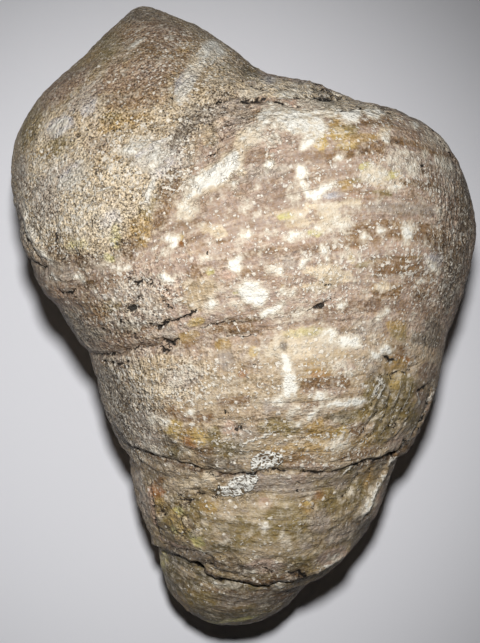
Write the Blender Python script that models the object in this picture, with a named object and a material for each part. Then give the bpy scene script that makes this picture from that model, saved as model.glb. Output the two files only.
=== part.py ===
"""Fossil horn coral with its lump of matrix, as one solid.

The horn lies on its side: its blunt tip points to -Y, it widens and curves
towards -X as it grows, and the calice at its +Y end is plugged by a lump of
sandy matrix. It is lofted from tilted growth rings, one per station below, and
the rings are bridged into one closed surface. Metres, +Z up, origin at the
centre of the resting face's level under the bounding box.
"""

import math

import bmesh
import bpy
import numpy as np
from mathutils import Matrix, Vector

MM = 0.001

# Growth rings, in millimetres, from the tip to the far end of the matrix lump.
# left x, left y, right x, right y: the two ends of the ring on the outline.
# centre z: height of that line. up, down: half depths above and below it.
# sag: how far the top of the ring leans towards the far end (+) or the tip (-).
# skew: how far the ring's right shoulder leads its left one.
STATIONS = (
    # left x, left y, right x, right y, centre z, up, down, sag, skew
    (-1.2, -47.0, -1.2, -47.0, 5.0, 0.0, 0.0, 0.0, 0.0),
    (-4.6, -47.0, 2.2, -47.0, 6.0, 3.4, 3.0, -1.1, 0.0),
    (-7.4, -45.7, 5.5, -45.8, 7.6, 6.6, 5.2, -2.2, 0.0),
    (-10.0, -43.8, 8.1, -44.0, 9.6, 9.6, 7.6, -3.2, 0.0),
    (-11.7, -41.3, 9.8, -42.0, 11.4, 11.6, 9.8, -4.0, -0.2),
    (-12.7, -38.2, 10.3, -40.8, 12.8, 13.0, 11.4, -4.3, -0.3),
    (-13.1, -36.1, 11.0, -40.3, 13.6, 13.4, 12.2, -4.2, -0.5),
    (-13.2, -34.7, 12.7, -38.3, 14.2, 14.8, 12.8, -4.2, -0.6),
    (-14.4, -31.6, 17.2, -35.2, 15.6, 17.0, 14.4, -4.2, -0.5),
    (-15.7, -27.7, 21.0, -30.5, 17.2, 18.8, 16.2, -4.2, 0.0),
    (-16.6, -24.1, 22.9, -25.4, 18.6, 19.6, 17.6, -4.2, 0.3),
    (-16.9, -21.2, 23.8, -21.7, 19.6, 19.8, 18.6, -4.0, 0.5),
    (-17.9, -18.6, 25.6, -19.3, 20.4, 21.2, 19.4, -3.7, 0.5),
    (-19.9, -15.2, 27.5, -16.2, 21.8, 22.8, 20.8, -2.2, 0.6),
    (-21.1, -11.5, 29.2, -12.4, 23.2, 24.2, 22.2, -0.3, 0.9),
    (-21.9, -7.4, 30.4, -8.1, 24.4, 25.2, 23.4, 1.2, 1.4),
    (-23.4, -4.4, 31.5, -3.1, 25.2, 25.8, 24.4, 2.6, 1.9),
    (-26.0, -0.5, 32.8, 0.5, 25.8, 26.4, 25.2, 3.4, 2.3),
    (-28.3, 3.1, 34.2, 4.5, 26.2, 26.8, 25.8, 4.0, 3.1),
    (-31.2, 6.5, 34.9, 8.5, 26.4, 27.0, 26.2, 4.5, 4.0),
    (-32.6, 9.8, 35.3, 13.0, 26.4, 27.0, 26.4, 4.7, 5.0),
    (-34.0, 13.2, 34.8, 18.4, 26.2, 26.8, 26.2, 4.2, 5.2),
    (-34.3, 16.4, 33.1, 23.7, 25.8, 26.2, 25.8, 3.2, 3.6),
    (-34.9, 19.3, 29.9, 28.0, 25.4, 25.4, 25.2, 2.0, 2.2),
    (-35.0, 22.3, 24.6, 31.2, 25.0, 24.6, 24.4, 1.0, 1.1),
    (-34.8, 25.4, 18.0, 33.2, 24.4, 23.6, 23.4, 0.3, 0.6),
    (-34.0, 28.7, 11.4, 35.9, 23.8, 22.4, 22.2, 0.0, 0.5),
    (-32.4, 31.8, 4.6, 38.2, 23.0, 20.8, 20.8, -0.4, 0.2),
    (-30.6, 34.6, -0.3, 41.6, 22.2, 18.8, 19.0, -0.6, 0.0),
    (-28.2, 37.1, -5.4, 44.9, 21.4, 16.2, 16.8, -0.9, 0.0),
    (-25.9, 39.3, -9.9, 47.1, 20.6, 13.0, 13.8, -0.8, 0.0),
    (-23.8, 41.4, -14.0, 48.6, 20.0, 9.0, 9.8, -0.5, 0.0),
    (-22.1, 43.0, -16.5, 48.3, 19.6, 4.6, 5.0, -0.2, 0.0),
    (-19.9, 45.4, -19.9, 45.4, 19.4, 0.0, 0.0, 0.0, 0.0),
)

RING_POINTS = 72  # points round each ring
UP_POWER, DOWN_POWER = 2.15, 2.5  # superellipse powers above and below
REST_CUT = 1.0  # how much of the underside is worn flat, mm

# Two constrictions where growth paused: ring position, depth mm, lip mm, and
# the angle round the ring at which each is deepest.
CREASES = ((6.45, 1.0, 0.35, 75), (11.45, 1.0, 0.4, 50))
CREASE_WIDTH = 0.3  # in stations
GROOVE_AT, GROOVE_DEPTH = 16.0, 0.35  # a shallow groove round the main body

# Where the valley between the coral's rim and the matrix lump runs:
# angle round the ring in degrees (0 right, 90 top, 180 left), ring position.
VALLEY = (
    (0, 27.3),
    (47, 26.4),
    (69, 25.4),
    (90, 23.9),
    (105, 21.3),
    (122, 19.7),
    (150, 20.4),
    (180, 20.5),
    (225, 22.2),
    (270, 24.4),
    (315, 26.4),
)
VALLEY_WIDTH = 5.2  # mm
VALLEY_DEPTH, VALLEY_LEAST = 1.7, 0.8  # mm, at its deepest and elsewhere
VALLEY_DEEPEST, VALLEY_REACH = 100, 32  # degrees round the ring
RIM_RISE, RIM_OFFSET, RIM_WIDTH = 0.5, 7.0, 3.5  # mm
SEPTA, SEPTA_HEIGHT = 40, 0.5  # low radial ridges inside the hidden rim

LUMP_SCALE, LUMP_HEIGHT = 17.0, 0.8  # broad unevenness, mm
KNOB_SCALE, KNOB_HEIGHT = 6.5, 0.28  # finer unevenness, mm

TABLE = np.array(STATIONS)
LAST = len(TABLE) - 1


def station(u):
    """The ring at position u, by a Catmull-Rom spline through the stations."""
    u = np.clip(np.asarray(u, float), 0, LAST)
    i = np.clip(np.floor(u).astype(int), 0, LAST - 1)
    t = (u - i)[..., None]
    a, b, c, d = (TABLE[np.clip(i + k, 0, LAST)] for k in (-1, 0, 1, 2))
    return 0.5 * (
        2 * b
        + (c - a) * t
        + (2 * a - 5 * b + 4 * c - d) * t * t
        + (3 * b - a - 3 * c + d) * t**3
    )


def ring_point(u, phi):
    """A point in mm on the smooth horn: ring position u, angle phi round it."""
    lx, ly, rx, ry, cz, up, down, sag, skew = np.moveaxis(station(u), -1, 0)
    dx, dy = (rx - lx) / 2, (ry - ly) / 2
    half = np.hypot(dx, dy)
    safe = np.where(half > 1e-6, half, 1)
    grow_x, grow_y = -dy / safe, dx / safe
    c, s = np.cos(phi), np.sin(phi)
    power = 2 / np.where(s >= 0, UP_POWER, DOWN_POWER)
    across = np.sign(c) * np.abs(c) ** power
    height = np.sign(s) * np.abs(s) ** power
    lean = sag * np.sign(s) * np.abs(s) ** 1.5 + skew * np.sin(2 * phi)
    return np.stack(
        [
            (lx + rx) / 2 + dx * across + grow_x * lean,
            (ly + ry) / 2 + dy * across + grow_y * lean,
            cz + np.where(s >= 0, up, down) * height,
        ],
        -1,
    )


def normal_at(u, phi):
    """The outward normal of the smooth horn."""
    e = 0.02
    along = ring_point(np.clip(u + e, 0, LAST), phi) - ring_point(
        np.clip(u - e, 0, LAST), phi
    )
    around = ring_point(u, phi + e) - ring_point(u, phi - e)
    n = np.cross(along, around)
    return n / np.maximum(np.linalg.norm(n, axis=-1, keepdims=True), 1e-9)


def valley_at(phi):
    """Ring position of the valley at each angle, smoothly round the horn."""
    angle = np.degrees(phi) % 360
    at = np.array([row[0] for row in VALLEY], float)
    value = np.array([row[1] for row in VALLEY], float)
    n = len(at)
    i = np.searchsorted(at, angle, side="right") - 1
    far = np.where(i == n - 1, 360.0, at[(i + 1) % n])
    t = ((angle - at[i]) / (far - at[i]))[..., None]
    a, b, c, d = (value[(i + k) % n][..., None] for k in (-1, 0, 1, 2))
    p = 0.5 * (
        2 * b
        + (c - a) * t
        + (2 * a - 5 * b + 4 * c - d) * t * t
        + (3 * b - a - 3 * c + d) * t**3
    )
    return p[..., 0]


def lattice_noise(p, seed):
    """Smooth noise from -1 to 1 on a lattice of unit cells."""
    cell = np.floor(p).astype(np.int64)
    f = p - cell
    w = f * f * f * (f * (f * 6 - 15) + 10)
    total = 0.0
    for corner in np.ndindex(2, 2, 2):
        q = cell + np.array(corner)
        h = (
            q[..., 0] * 73856093
            ^ q[..., 1] * 19349663
            ^ q[..., 2] * 83492791
            ^ seed * 26544357
        ) & 0xFFFFFFFF
        h = ((h ^ (h >> 13)) * 1274126177) & 0xFFFFFFFF
        h = h ^ (h >> 16)
        g = (
            np.stack([h & 1023, (h >> 10) & 1023, (h >> 20) & 1023], -1) / 511.5
            - 1
        )
        blend = np.prod(np.where(np.array(corner), w, 1 - w), axis=-1)
        total = total + blend * ((f - np.array(corner)) * g).sum(-1)
    return total


def relief(u, phi, p):
    """How far the real surface stands off the smooth horn, in mm."""
    # Broad lumps, growing weaker on the small tip cap.
    size = np.clip(u / 7, 0.25, 1)
    out = size * (
        LUMP_HEIGHT * 1.3 * lattice_noise(p / LUMP_SCALE, 3)
        + KNOB_HEIGHT * 1.3 * lattice_noise(p / KNOB_SCALE, 8)
    )
    # Constrictions: a groove with a swollen lip on its far side.
    for at, depth, lip, deepest in CREASES:
        d = (u - at) / CREASE_WIDTH
        strength = 0.55 + 0.45 * np.cos(phi - math.radians(deepest))
        strength = strength + 0.25 * lattice_noise(p / 5, 21)
        out = out - strength * depth * np.exp(-(d**2))
        out = out + strength * lip * np.exp(-((d - 2.6) ** 2) / 3.5)
    left = np.clip(-np.cos(phi) * 1.3 + 0.4, 0, 1)
    out = out - GROOVE_DEPTH * left * np.exp(-(((u - GROOVE_AT) / 0.3) ** 2))
    # The valley round the matrix lump, and the coral's rim beside it.
    ring = np.radians(np.arange(0, 360, 1.5))
    line = ring_point(valley_at(ring), ring)
    gap = np.linalg.norm(p[..., None, :] - line, axis=-1).min(-1)
    gap = np.where(u > valley_at(phi), gap, -gap)  # + on the lump
    turn = (np.degrees(phi) - VALLEY_DEEPEST) / VALLEY_REACH
    deep = np.exp(-(turn**2))
    depth = VALLEY_LEAST + (VALLEY_DEPTH - VALLEY_LEAST) * deep
    out = out - depth * np.exp(-((gap / VALLEY_WIDTH) ** 2))
    out = out + RIM_RISE * deep * np.exp(-(((gap + RIM_OFFSET) / RIM_WIDTH) ** 2))
    # Low septal ridges between rim and lump, on the underside and far side.
    hidden = np.clip(-np.sin(phi) * 2, 0, 1)
    out = out + hidden * SEPTA_HEIGHT * np.sin(SEPTA * phi) * np.exp(
        -(((gap - 1) / 3.2) ** 2)
    )
    return out


def ring_positions():
    """Where the loft puts its rings: closer at the poles and the creases."""
    at = [0.3, 0.65, 1, 1.5, 2, 2.75, 3.5, 4.3, 5, 5.6, 6.05, 6.3, 6.5, 6.75]
    at += [7.1, 7.6, 8.3, 9, 9.7, 10.4, 10.95, 11.25, 11.45, 11.7, 12.05, 12.6]
    at += [13.2, 13.8, 14.4, 15, 15.6, 16]
    u = 16.55
    while u < 30:
        at.append(u)
        u += 0.6
    at += [30.2, 30.7, 31.15, 31.6, 32.05, 32.4, 32.75]
    return at


def lofted_horn():
    """Bridges the growth rings, closes both poles and returns the mesh."""
    bm = bmesh.new()
    phi = np.arange(RING_POINTS) * 2 * math.pi / RING_POINTS
    loops = []
    for at in ring_positions():
        u = np.full(RING_POINTS, float(at))
        p = ring_point(u, phi)
        p = p + normal_at(u, phi) * relief(u, phi, p)[:, None]
        verts = [bm.verts.new(Vector(q) * MM) for q in p.tolist()]
        loops.append(
            [
                bm.edges.new((verts[k], verts[(k + 1) % RING_POINTS]))
                for k in range(RING_POINTS)
            ]
        )
        if at in (ring_positions()[0], ring_positions()[-1]):
            pole = bm.verts.new(
                Vector(ring_point(0.0 if at < 1 else float(LAST), 0.0)) * MM
            )
            for edge in loops[-1]:
                bm.faces.new((*edge.verts, pole))
    for near, far in zip(loops, loops[1:]):
        bmesh.ops.bridge_loops(bm, edges=near + far)
    bmesh.ops.triangulate(bm, faces=[f for f in bm.faces if len(f.verts) > 3])
    bmesh.ops.recalc_face_normals(bm, faces=bm.faces)
    mesh = bpy.data.meshes.new("horn_coral")
    bm.to_mesh(mesh)
    bm.free()
    return mesh


def weathered_stone():
    mat = bpy.data.materials.new("weathered_stone")
    mat.use_nodes = True
    shader = mat.node_tree.nodes["Principled BSDF"]
    shader.inputs["Base Color"].default_value = (0.42, 0.34, 0.25, 1)
    shader.inputs["Roughness"].default_value = 0.85
    shader.inputs["Metallic"].default_value = 0.0
    return mat


def main():
    for old in list(bpy.data.objects):
        bpy.data.objects.remove(old, do_unlink=True)
    scene = bpy.context.scene

    coral = bpy.data.objects.new("horn_coral", lofted_horn())
    coral.data.materials.append(weathered_stone())
    coral.data.shade_smooth()
    scene.collection.objects.link(coral)

    # Level the underside so that the fossil lies still, and put the origin
    # under the middle of the bounding box.
    corners = np.array([v.co for v in coral.data.vertices])
    low, high = corners.min(0), corners.max(0)
    middle = (low + high) / 2
    floor = low[2] + REST_CUT * MM
    coral.data.transform(
        Matrix.Translation((-float(middle[0]), -float(middle[1]), -float(floor)))
    )
    block = bpy.data.meshes.new("rest_cutter")
    bm = bmesh.new()
    bmesh.ops.create_cube(bm, size=0.2)
    bm.to_mesh(block)
    bm.free()
    cutter = bpy.data.objects.new("rest_cutter", block)
    cutter.location.z = -0.1
    cutter.hide_render = True
    cutter.display_type = "WIRE"
    scene.collection.objects.link(cutter)
    level = coral.modifiers.new("Worn flat", "BOOLEAN")
    level.operation = "DIFFERENCE"
    level.solver = "EXACT"
    level.object = cutter


main()
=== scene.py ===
"""The looks of the fossil horn coral: one detailed mesh in place of the CAD
solid, a procedural stone material, a pale floor, soft light and the camera.

Lengths in this file are millimetres on the fossil's own frame until the mesh
is written in metres. Places read off the photograph are in its 480 x 643
pixels, and are carried onto the surface by `on_surface`.
"""

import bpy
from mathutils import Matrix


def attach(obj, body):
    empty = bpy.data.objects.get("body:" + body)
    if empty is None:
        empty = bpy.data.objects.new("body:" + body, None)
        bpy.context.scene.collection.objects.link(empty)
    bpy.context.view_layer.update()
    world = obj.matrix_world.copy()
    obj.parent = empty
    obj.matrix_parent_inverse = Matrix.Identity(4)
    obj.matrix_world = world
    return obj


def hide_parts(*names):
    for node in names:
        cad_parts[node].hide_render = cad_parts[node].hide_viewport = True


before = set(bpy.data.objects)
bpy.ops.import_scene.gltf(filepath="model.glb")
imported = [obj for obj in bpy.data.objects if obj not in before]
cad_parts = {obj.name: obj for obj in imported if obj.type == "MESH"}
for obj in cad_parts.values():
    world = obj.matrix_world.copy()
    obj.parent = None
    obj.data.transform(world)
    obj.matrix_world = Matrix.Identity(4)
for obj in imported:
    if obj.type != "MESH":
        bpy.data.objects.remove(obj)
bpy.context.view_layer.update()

import math

import bpy
import numpy as np
from mathutils import Vector

MM = 0.001

# ---------------------------------------------------------------- the horn
# The same growth rings as the CAD solid, in mm, from the tip to the far end.
STATIONS = (
    # left x, left y, right x, right y, centre z, up, down, sag, skew
    (-1.2, -47.0, -1.2, -47.0, 5.0, 0.0, 0.0, 0.0, 0.0),
    (-4.6, -47.0, 2.2, -47.0, 6.0, 3.4, 3.0, -1.1, 0.0),
    (-7.4, -45.7, 5.5, -45.8, 7.6, 6.6, 5.2, -2.2, 0.0),
    (-10.0, -43.8, 8.1, -44.0, 9.6, 9.6, 7.6, -3.2, 0.0),
    (-11.7, -41.3, 9.8, -42.0, 11.4, 11.6, 9.8, -4.0, -0.2),
    (-12.7, -38.2, 10.3, -40.8, 12.8, 13.0, 11.4, -4.3, -0.3),
    (-13.1, -36.1, 11.0, -40.3, 13.6, 13.4, 12.2, -4.2, -0.5),
    (-13.2, -34.7, 12.7, -38.3, 14.2, 14.8, 12.8, -4.2, -0.6),
    (-14.4, -31.6, 17.2, -35.2, 15.6, 17.0, 14.4, -4.2, -0.5),
    (-15.7, -27.7, 21.0, -30.5, 17.2, 18.8, 16.2, -4.2, 0.0),
    (-16.6, -24.1, 22.9, -25.4, 18.6, 19.6, 17.6, -4.2, 0.3),
    (-16.9, -21.2, 23.8, -21.7, 19.6, 19.8, 18.6, -4.0, 0.5),
    (-17.9, -18.6, 25.6, -19.3, 20.4, 21.2, 19.4, -3.7, 0.5),
    (-19.9, -15.2, 27.5, -16.2, 21.8, 22.8, 20.8, -2.2, 0.6),
    (-21.1, -11.5, 29.2, -12.4, 23.2, 24.2, 22.2, -0.3, 0.9),
    (-21.9, -7.4, 30.4, -8.1, 24.4, 25.2, 23.4, 1.2, 1.4),
    (-23.4, -4.4, 31.5, -3.1, 25.2, 25.8, 24.4, 2.6, 1.9),
    (-26.0, -0.5, 32.8, 0.5, 25.8, 26.4, 25.2, 3.4, 2.3),
    (-28.3, 3.1, 34.2, 4.5, 26.2, 26.8, 25.8, 4.0, 3.1),
    (-31.2, 6.5, 34.9, 8.5, 26.4, 27.0, 26.2, 4.5, 4.0),
    (-32.6, 9.8, 35.3, 13.0, 26.4, 27.0, 26.4, 4.7, 5.0),
    (-34.0, 13.2, 34.8, 18.4, 26.2, 26.8, 26.2, 4.2, 5.2),
    (-34.3, 16.4, 33.1, 23.7, 25.8, 26.2, 25.8, 3.2, 3.6),
    (-34.9, 19.3, 29.9, 28.0, 25.4, 25.4, 25.2, 2.0, 2.2),
    (-35.0, 22.3, 24.6, 31.2, 25.0, 24.6, 24.4, 1.0, 1.1),
    (-34.8, 25.4, 18.0, 33.2, 24.4, 23.6, 23.4, 0.3, 0.6),
    (-34.0, 28.7, 11.4, 35.9, 23.8, 22.4, 22.2, 0.0, 0.5),
    (-32.4, 31.8, 4.6, 38.2, 23.0, 20.8, 20.8, -0.4, 0.2),
    (-30.6, 34.6, -0.3, 41.6, 22.2, 18.8, 19.0, -0.6, 0.0),
    (-28.2, 37.1, -5.4, 44.9, 21.4, 16.2, 16.8, -0.9, 0.0),
    (-25.9, 39.3, -9.9, 47.1, 20.6, 13.0, 13.8, -0.8, 0.0),
    (-23.8, 41.4, -14.0, 48.6, 20.0, 9.0, 9.8, -0.5, 0.0),
    (-22.1, 43.0, -16.5, 48.3, 19.6, 4.6, 5.0, -0.2, 0.0),
    (-19.9, 45.4, -19.9, 45.4, 19.4, 0.0, 0.0, 0.0, 0.0),
)
UP_POWER, DOWN_POWER = 2.15, 2.5
TABLE = np.array(STATIONS)
LAST = len(TABLE) - 1
ORIGIN = np.array([0.4595, 0.3313, 0.7124])  # the CAD origin on this frame

VALLEY = (
    (0, 27.3),
    (47, 26.4),
    (69, 25.4),
    (90, 23.9),
    (105, 21.3),
    (122, 19.7),
    (150, 20.4),
    (180, 20.5),
    (225, 22.2),
    (270, 24.4),
    (315, 26.4),
)
VALLEY_WIDTH = 5.2
VALLEY_DEPTH, VALLEY_LEAST = 1.7, 0.8
VALLEY_DEEPEST, VALLEY_REACH = 100, 32
RIM_RISE, RIM_OFFSET, RIM_WIDTH = 0.5, 7.0, 3.5
GROOVE_AT, GROOVE_DEPTH = 16.0, 0.35
LUMP_SCALE, LUMP_HEIGHT = 17.0, 0.8
KNOB_SCALE, KNOB_HEIGHT = 6.5, 0.28
SEPTA, SEPTA_HEIGHT = 40, 0.5

# The camera looks straight down. Distances in mm.
CAMERA_HEIGHT = 340.0  # above the table
SHARP_AT = 22.0  # height at which one pixel is PIXEL wide
PIXEL = 0.1545
WIDE, TALL = 480, 643


def station(u):
    u = np.clip(np.asarray(u, float), 0, LAST)
    i = np.clip(np.floor(u).astype(int), 0, LAST - 1)
    t = (u - i)[..., None]
    a, b, c, d = (TABLE[np.clip(i + k, 0, LAST)] for k in (-1, 0, 1, 2))
    return 0.5 * (
        2 * b
        + (c - a) * t
        + (2 * a - 5 * b + 4 * c - d) * t * t
        + (3 * b - a - 3 * c + d) * t**3
    )


def ring_point(u, phi):
    """A point on the smooth horn: ring position u, angle phi round it."""
    lx, ly, rx, ry, cz, up, down, sag, skew = np.moveaxis(station(u), -1, 0)
    dx, dy = (rx - lx) / 2, (ry - ly) / 2
    half = np.hypot(dx, dy)
    safe = np.where(half > 1e-6, half, 1)
    grow_x, grow_y = -dy / safe, dx / safe
    c, s = np.cos(phi), np.sin(phi)
    power = 2 / np.where(s >= 0, UP_POWER, DOWN_POWER)
    across = np.sign(c) * np.abs(c) ** power
    height = np.sign(s) * np.abs(s) ** power
    lean = sag * np.sign(s) * np.abs(s) ** 1.5 + skew * np.sin(2 * phi)
    return np.stack(
        [
            (lx + rx) / 2 + dx * across + grow_x * lean,
            (ly + ry) / 2 + dy * across + grow_y * lean,
            cz + np.where(s >= 0, up, down) * height,
        ],
        -1,
    )


def directions(u, phi):
    """Unit vectors on the smooth horn: outward, and along its growth."""
    e = 0.02
    along = ring_point(np.clip(u + e, 0, LAST), phi) - ring_point(
        np.clip(u - e, 0, LAST), phi
    )
    around = ring_point(u, phi + e) - ring_point(u, phi - e)
    out = np.cross(along, around)
    out /= np.maximum(np.linalg.norm(out, axis=-1, keepdims=True), 1e-9)
    along /= np.maximum(np.linalg.norm(along, axis=-1, keepdims=True), 1e-9)
    return out, along


def cyclic_spline(rows, angle):
    """A smooth closed curve through (degrees, value) rows."""
    angle = np.asarray(angle) % 360
    at = np.array([row[0] for row in rows], float)
    value = np.array([row[1] for row in rows], float)
    n = len(at)
    i = np.searchsorted(at, angle, side="right") - 1
    far = np.where(i == n - 1, 360.0, at[(i + 1) % n])
    t = (angle - at[i]) / (far - at[i])
    a, b, c, d = (value[(i + k) % n] for k in (-1, 0, 1, 2))
    return 0.5 * (
        2 * b
        + (c - a) * t
        + (2 * a - 5 * b + 4 * c - d) * t * t
        + (3 * b - a - 3 * c + d) * t**3
    )


def lattice_noise(p, seed):
    """Smooth noise from -1 to 1 on a lattice of unit cells."""
    p = np.asarray(p)
    cell = np.floor(p).astype(np.int64)
    f = p - cell
    w = f * f * f * (f * (f * 6 - 15) + 10)
    total = 0.0
    for corner in np.ndindex(2, 2, 2):
        q = cell + np.array(corner)
        h = (
            q[..., 0] * 73856093
            ^ q[..., 1] * 19349663
            ^ q[..., 2] * 83492791
            ^ seed * 26544357
        ) & 0xFFFFFFFF
        h = ((h ^ (h >> 13)) * 1274126177) & 0xFFFFFFFF
        h = h ^ (h >> 16)
        g = (
            np.stack([h & 1023, (h >> 10) & 1023, (h >> 20) & 1023], -1) / 511.5
            - 1
        )
        blend = np.prod(np.where(np.array(corner), w, 1 - w), axis=-1)
        total = total + blend * ((f - np.array(corner)) * g).sum(-1)
    return total


def octaves(p, scale, seed, count=3, gain=0.5):
    """Fractal noise, roughly from -1 to 1, largest features `scale` mm."""
    total, size = 0.0, 1.0
    for k in range(count):
        total = total + size * lattice_noise(p * (2.03**k / scale), seed + 17 * k)
        size *= gain
    return total * 1.5


def smooth(x, low, high):
    t = np.clip((x - low) / (high - low), 0, 1)
    return t * t * (3 - 2 * t)


# ---------------------------------------------------------------- the mesh
ROW_STEP, COLUMN_STEP = 0.40, 0.37  # mm on the upper side


def row_positions():
    """Ring positions evenly spaced over the upper side, closer at creases."""
    u = np.linspace(0.12, LAST - 0.1, 3300)
    phi = np.radians(np.linspace(15, 165, 11))
    p = ring_point(u[:, None], phi[None, :])
    step = np.linalg.norm(np.diff(p, axis=0), axis=-1).mean(1)
    mid = (u[1:] + u[:-1]) / 2
    closer = 1 + 0.7 * np.exp(-(((mid - 6.45) / 0.5) ** 2))
    closer += 0.7 * np.exp(-(((mid - 11.45) / 0.5) ** 2))
    closer *= np.where(mid > 29, 0.6, 1)  # the hidden far end
    total = np.concatenate([[0], np.cumsum(step * closer)])
    count = int(total[-1] / ROW_STEP)
    return np.interp(np.linspace(0, total[-1], count), total, u)


def row_angles(u):
    """Angles round one ring, closer on the upper side than underneath."""
    phi = np.linspace(-math.pi / 2, 1.5 * math.pi, 721)
    p = ring_point(np.full(721, u), phi)
    step = np.linalg.norm(np.diff(p, axis=0), axis=-1)
    mid = (phi[1:] + phi[:-1]) / 2
    total = np.concatenate(
        [[0], np.cumsum(step * (0.42 + 0.58 * smooth(np.sin(mid), -0.55, -0.15)))]
    )
    count = max(12, int(total[-1] / COLUMN_STEP))
    return np.interp(np.arange(count) / count * total[-1], total, phi)


def strip(a, b, start_a, start_b):
    """Triangles between two rings of angles a and b, starting at -90 degrees."""
    na, nb = len(a), len(b)
    end_a = np.append(a[1:], a[0] + 2 * math.pi)
    end_b = np.append(b[1:], b[0] + 2 * math.pi)
    j = np.searchsorted(end_b, end_a, side="left") % nb
    i = np.arange(na)
    one = np.stack([start_a + i, start_a + (i + 1) % na, start_b + j], -1)
    k = np.searchsorted(end_a, end_b, side="right") % na
    j = np.arange(nb)
    two = np.stack([start_a + k, start_b + (j + 1) % nb, start_b + j], -1)
    return np.concatenate([one, two])


def net():
    """(u, phi, triangles) of every vertex of the closed surface."""
    rows = row_positions()
    angles = [row_angles(u) for u in rows]
    starts = np.concatenate([[0], np.cumsum([len(a) for a in angles])])
    u = np.concatenate([np.full(len(a), r) for r, a in zip(rows, angles)])
    phi = np.concatenate(angles)
    faces = [
        strip(a, b, starts[k], starts[k + 1])
        for k, (a, b) in enumerate(zip(angles, angles[1:]))
    ]
    tip, far = len(u), len(u) + 1
    u = np.append(u, [0.0, float(LAST)])
    phi = np.append(phi, [0.0, 0.0])
    n = np.arange(len(angles[0]))
    faces.append(np.stack([(n + 1) % len(n), n, np.full(len(n), tip)], -1))
    n = np.arange(len(angles[-1]))
    at = starts[-2]
    faces.append(np.stack([at + n, at + (n + 1) % len(n), np.full(len(n), far)], -1))
    return u, phi, np.concatenate(faces)


U, PHI, FACES = net()
print("vertices", len(U), "triangles", len(FACES))
SMOOTH = ring_point(U, PHI)
OUT, ALONG = directions(U, PHI)
UPWARD = OUT[:, 2]


# ---------------------------------------------------------------- relief
def broad_relief():
    """The relief that the CAD solid has too."""
    size = np.clip(U / 7, 0.25, 1)
    out = size * (
        LUMP_HEIGHT * 1.3 * lattice_noise(SMOOTH / LUMP_SCALE, 3)
        + KNOB_HEIGHT * 1.3 * lattice_noise(SMOOTH / KNOB_SCALE, 8)
    )
    left = np.clip(-np.cos(PHI) * 1.3 + 0.4, 0, 1)
    out -= GROOVE_DEPTH * left * np.exp(-(((U - GROOVE_AT) / 0.3) ** 2))
    turn = (np.degrees(PHI) % 360 - VALLEY_DEEPEST) / VALLEY_REACH
    deep = np.exp(-(turn**2))
    depth = VALLEY_LEAST + (VALLEY_DEPTH - VALLEY_LEAST) * deep
    out -= depth * np.exp(-((GAP / VALLEY_WIDTH) ** 2))
    out += RIM_RISE * deep * np.exp(-(((GAP + RIM_OFFSET) / RIM_WIDTH) ** 2))
    hidden = np.clip(-np.sin(PHI) * 2, 0, 1)
    out += hidden * SEPTA_HEIGHT * np.sin(SEPTA * PHI) * np.exp(
        -(((GAP - 1) / 3.2) ** 2)
    )
    return out


def valley_gap():
    """Distance from the valley line in mm, positive on the matrix lump."""
    ring = np.arange(0, 360, 1.5)
    at = cyclic_spline(VALLEY, ring)
    line = ring_point(at, np.radians(ring))
    gap = np.full(len(U), 1e9)
    for start in range(0, len(U), 20000):
        part = SMOOTH[start : start + 20000, None, :] - line
        gap[start : start + 20000] = np.sqrt((part**2).sum(-1)).min(-1)
    side = U > cyclic_spline(VALLEY, np.degrees(PHI))
    return np.where(side, gap, -gap)


GAP = valley_gap()
SURFACE = SMOOTH + OUT * broad_relief()[:, None]


def seen_at(p):
    """The photograph's pixel at which a point shows."""
    k = (CAMERA_HEIGHT - p[..., 2]) / (CAMERA_HEIGHT - SHARP_AT) * PIXEL
    return np.stack([WIDE / 2 + p[..., 0] / k, TALL / 2 - p[..., 1] / k], -1)


PX = seen_at(SURFACE)
TOP = np.flatnonzero(UPWARD > 0.02)


def on_surface(points):
    """The surface points seen at these pixels, in mm."""
    points = np.atleast_2d(np.asarray(points, float))
    found = []
    for point in points:
        d = ((PX[TOP] - point) ** 2).sum(-1)
        found.append(TOP[d.argmin()])
    return SURFACE[found], np.array(found)


def along_curve(points, step=2.0):
    """Points every `step` pixels on a smooth curve through these pixels."""
    p = np.asarray(points, float)
    if len(p) == 2:
        n = max(2, int(np.hypot(*(p[1] - p[0])) / step))
        return p[0] + (p[1] - p[0]) * np.linspace(0, 1, n)[:, None]
    q = np.concatenate([[2 * p[0] - p[1]], p, [2 * p[-1] - p[-2]]])
    out = []
    for a, b, c, d in zip(q, q[1:], q[2:], q[3:]):
        n = max(2, int(np.hypot(*(c - b)) / step))
        t = np.arange(n)[:, None] / n
        out.append(
            0.5
            * (
                2 * b
                + (c - a) * t
                + (2 * a - 5 * b + 4 * c - d) * t * t
                + (3 * b - a - 3 * c + d) * t**3
            )
        )
    out.append(p[-1:])
    return np.concatenate(out)


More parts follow.
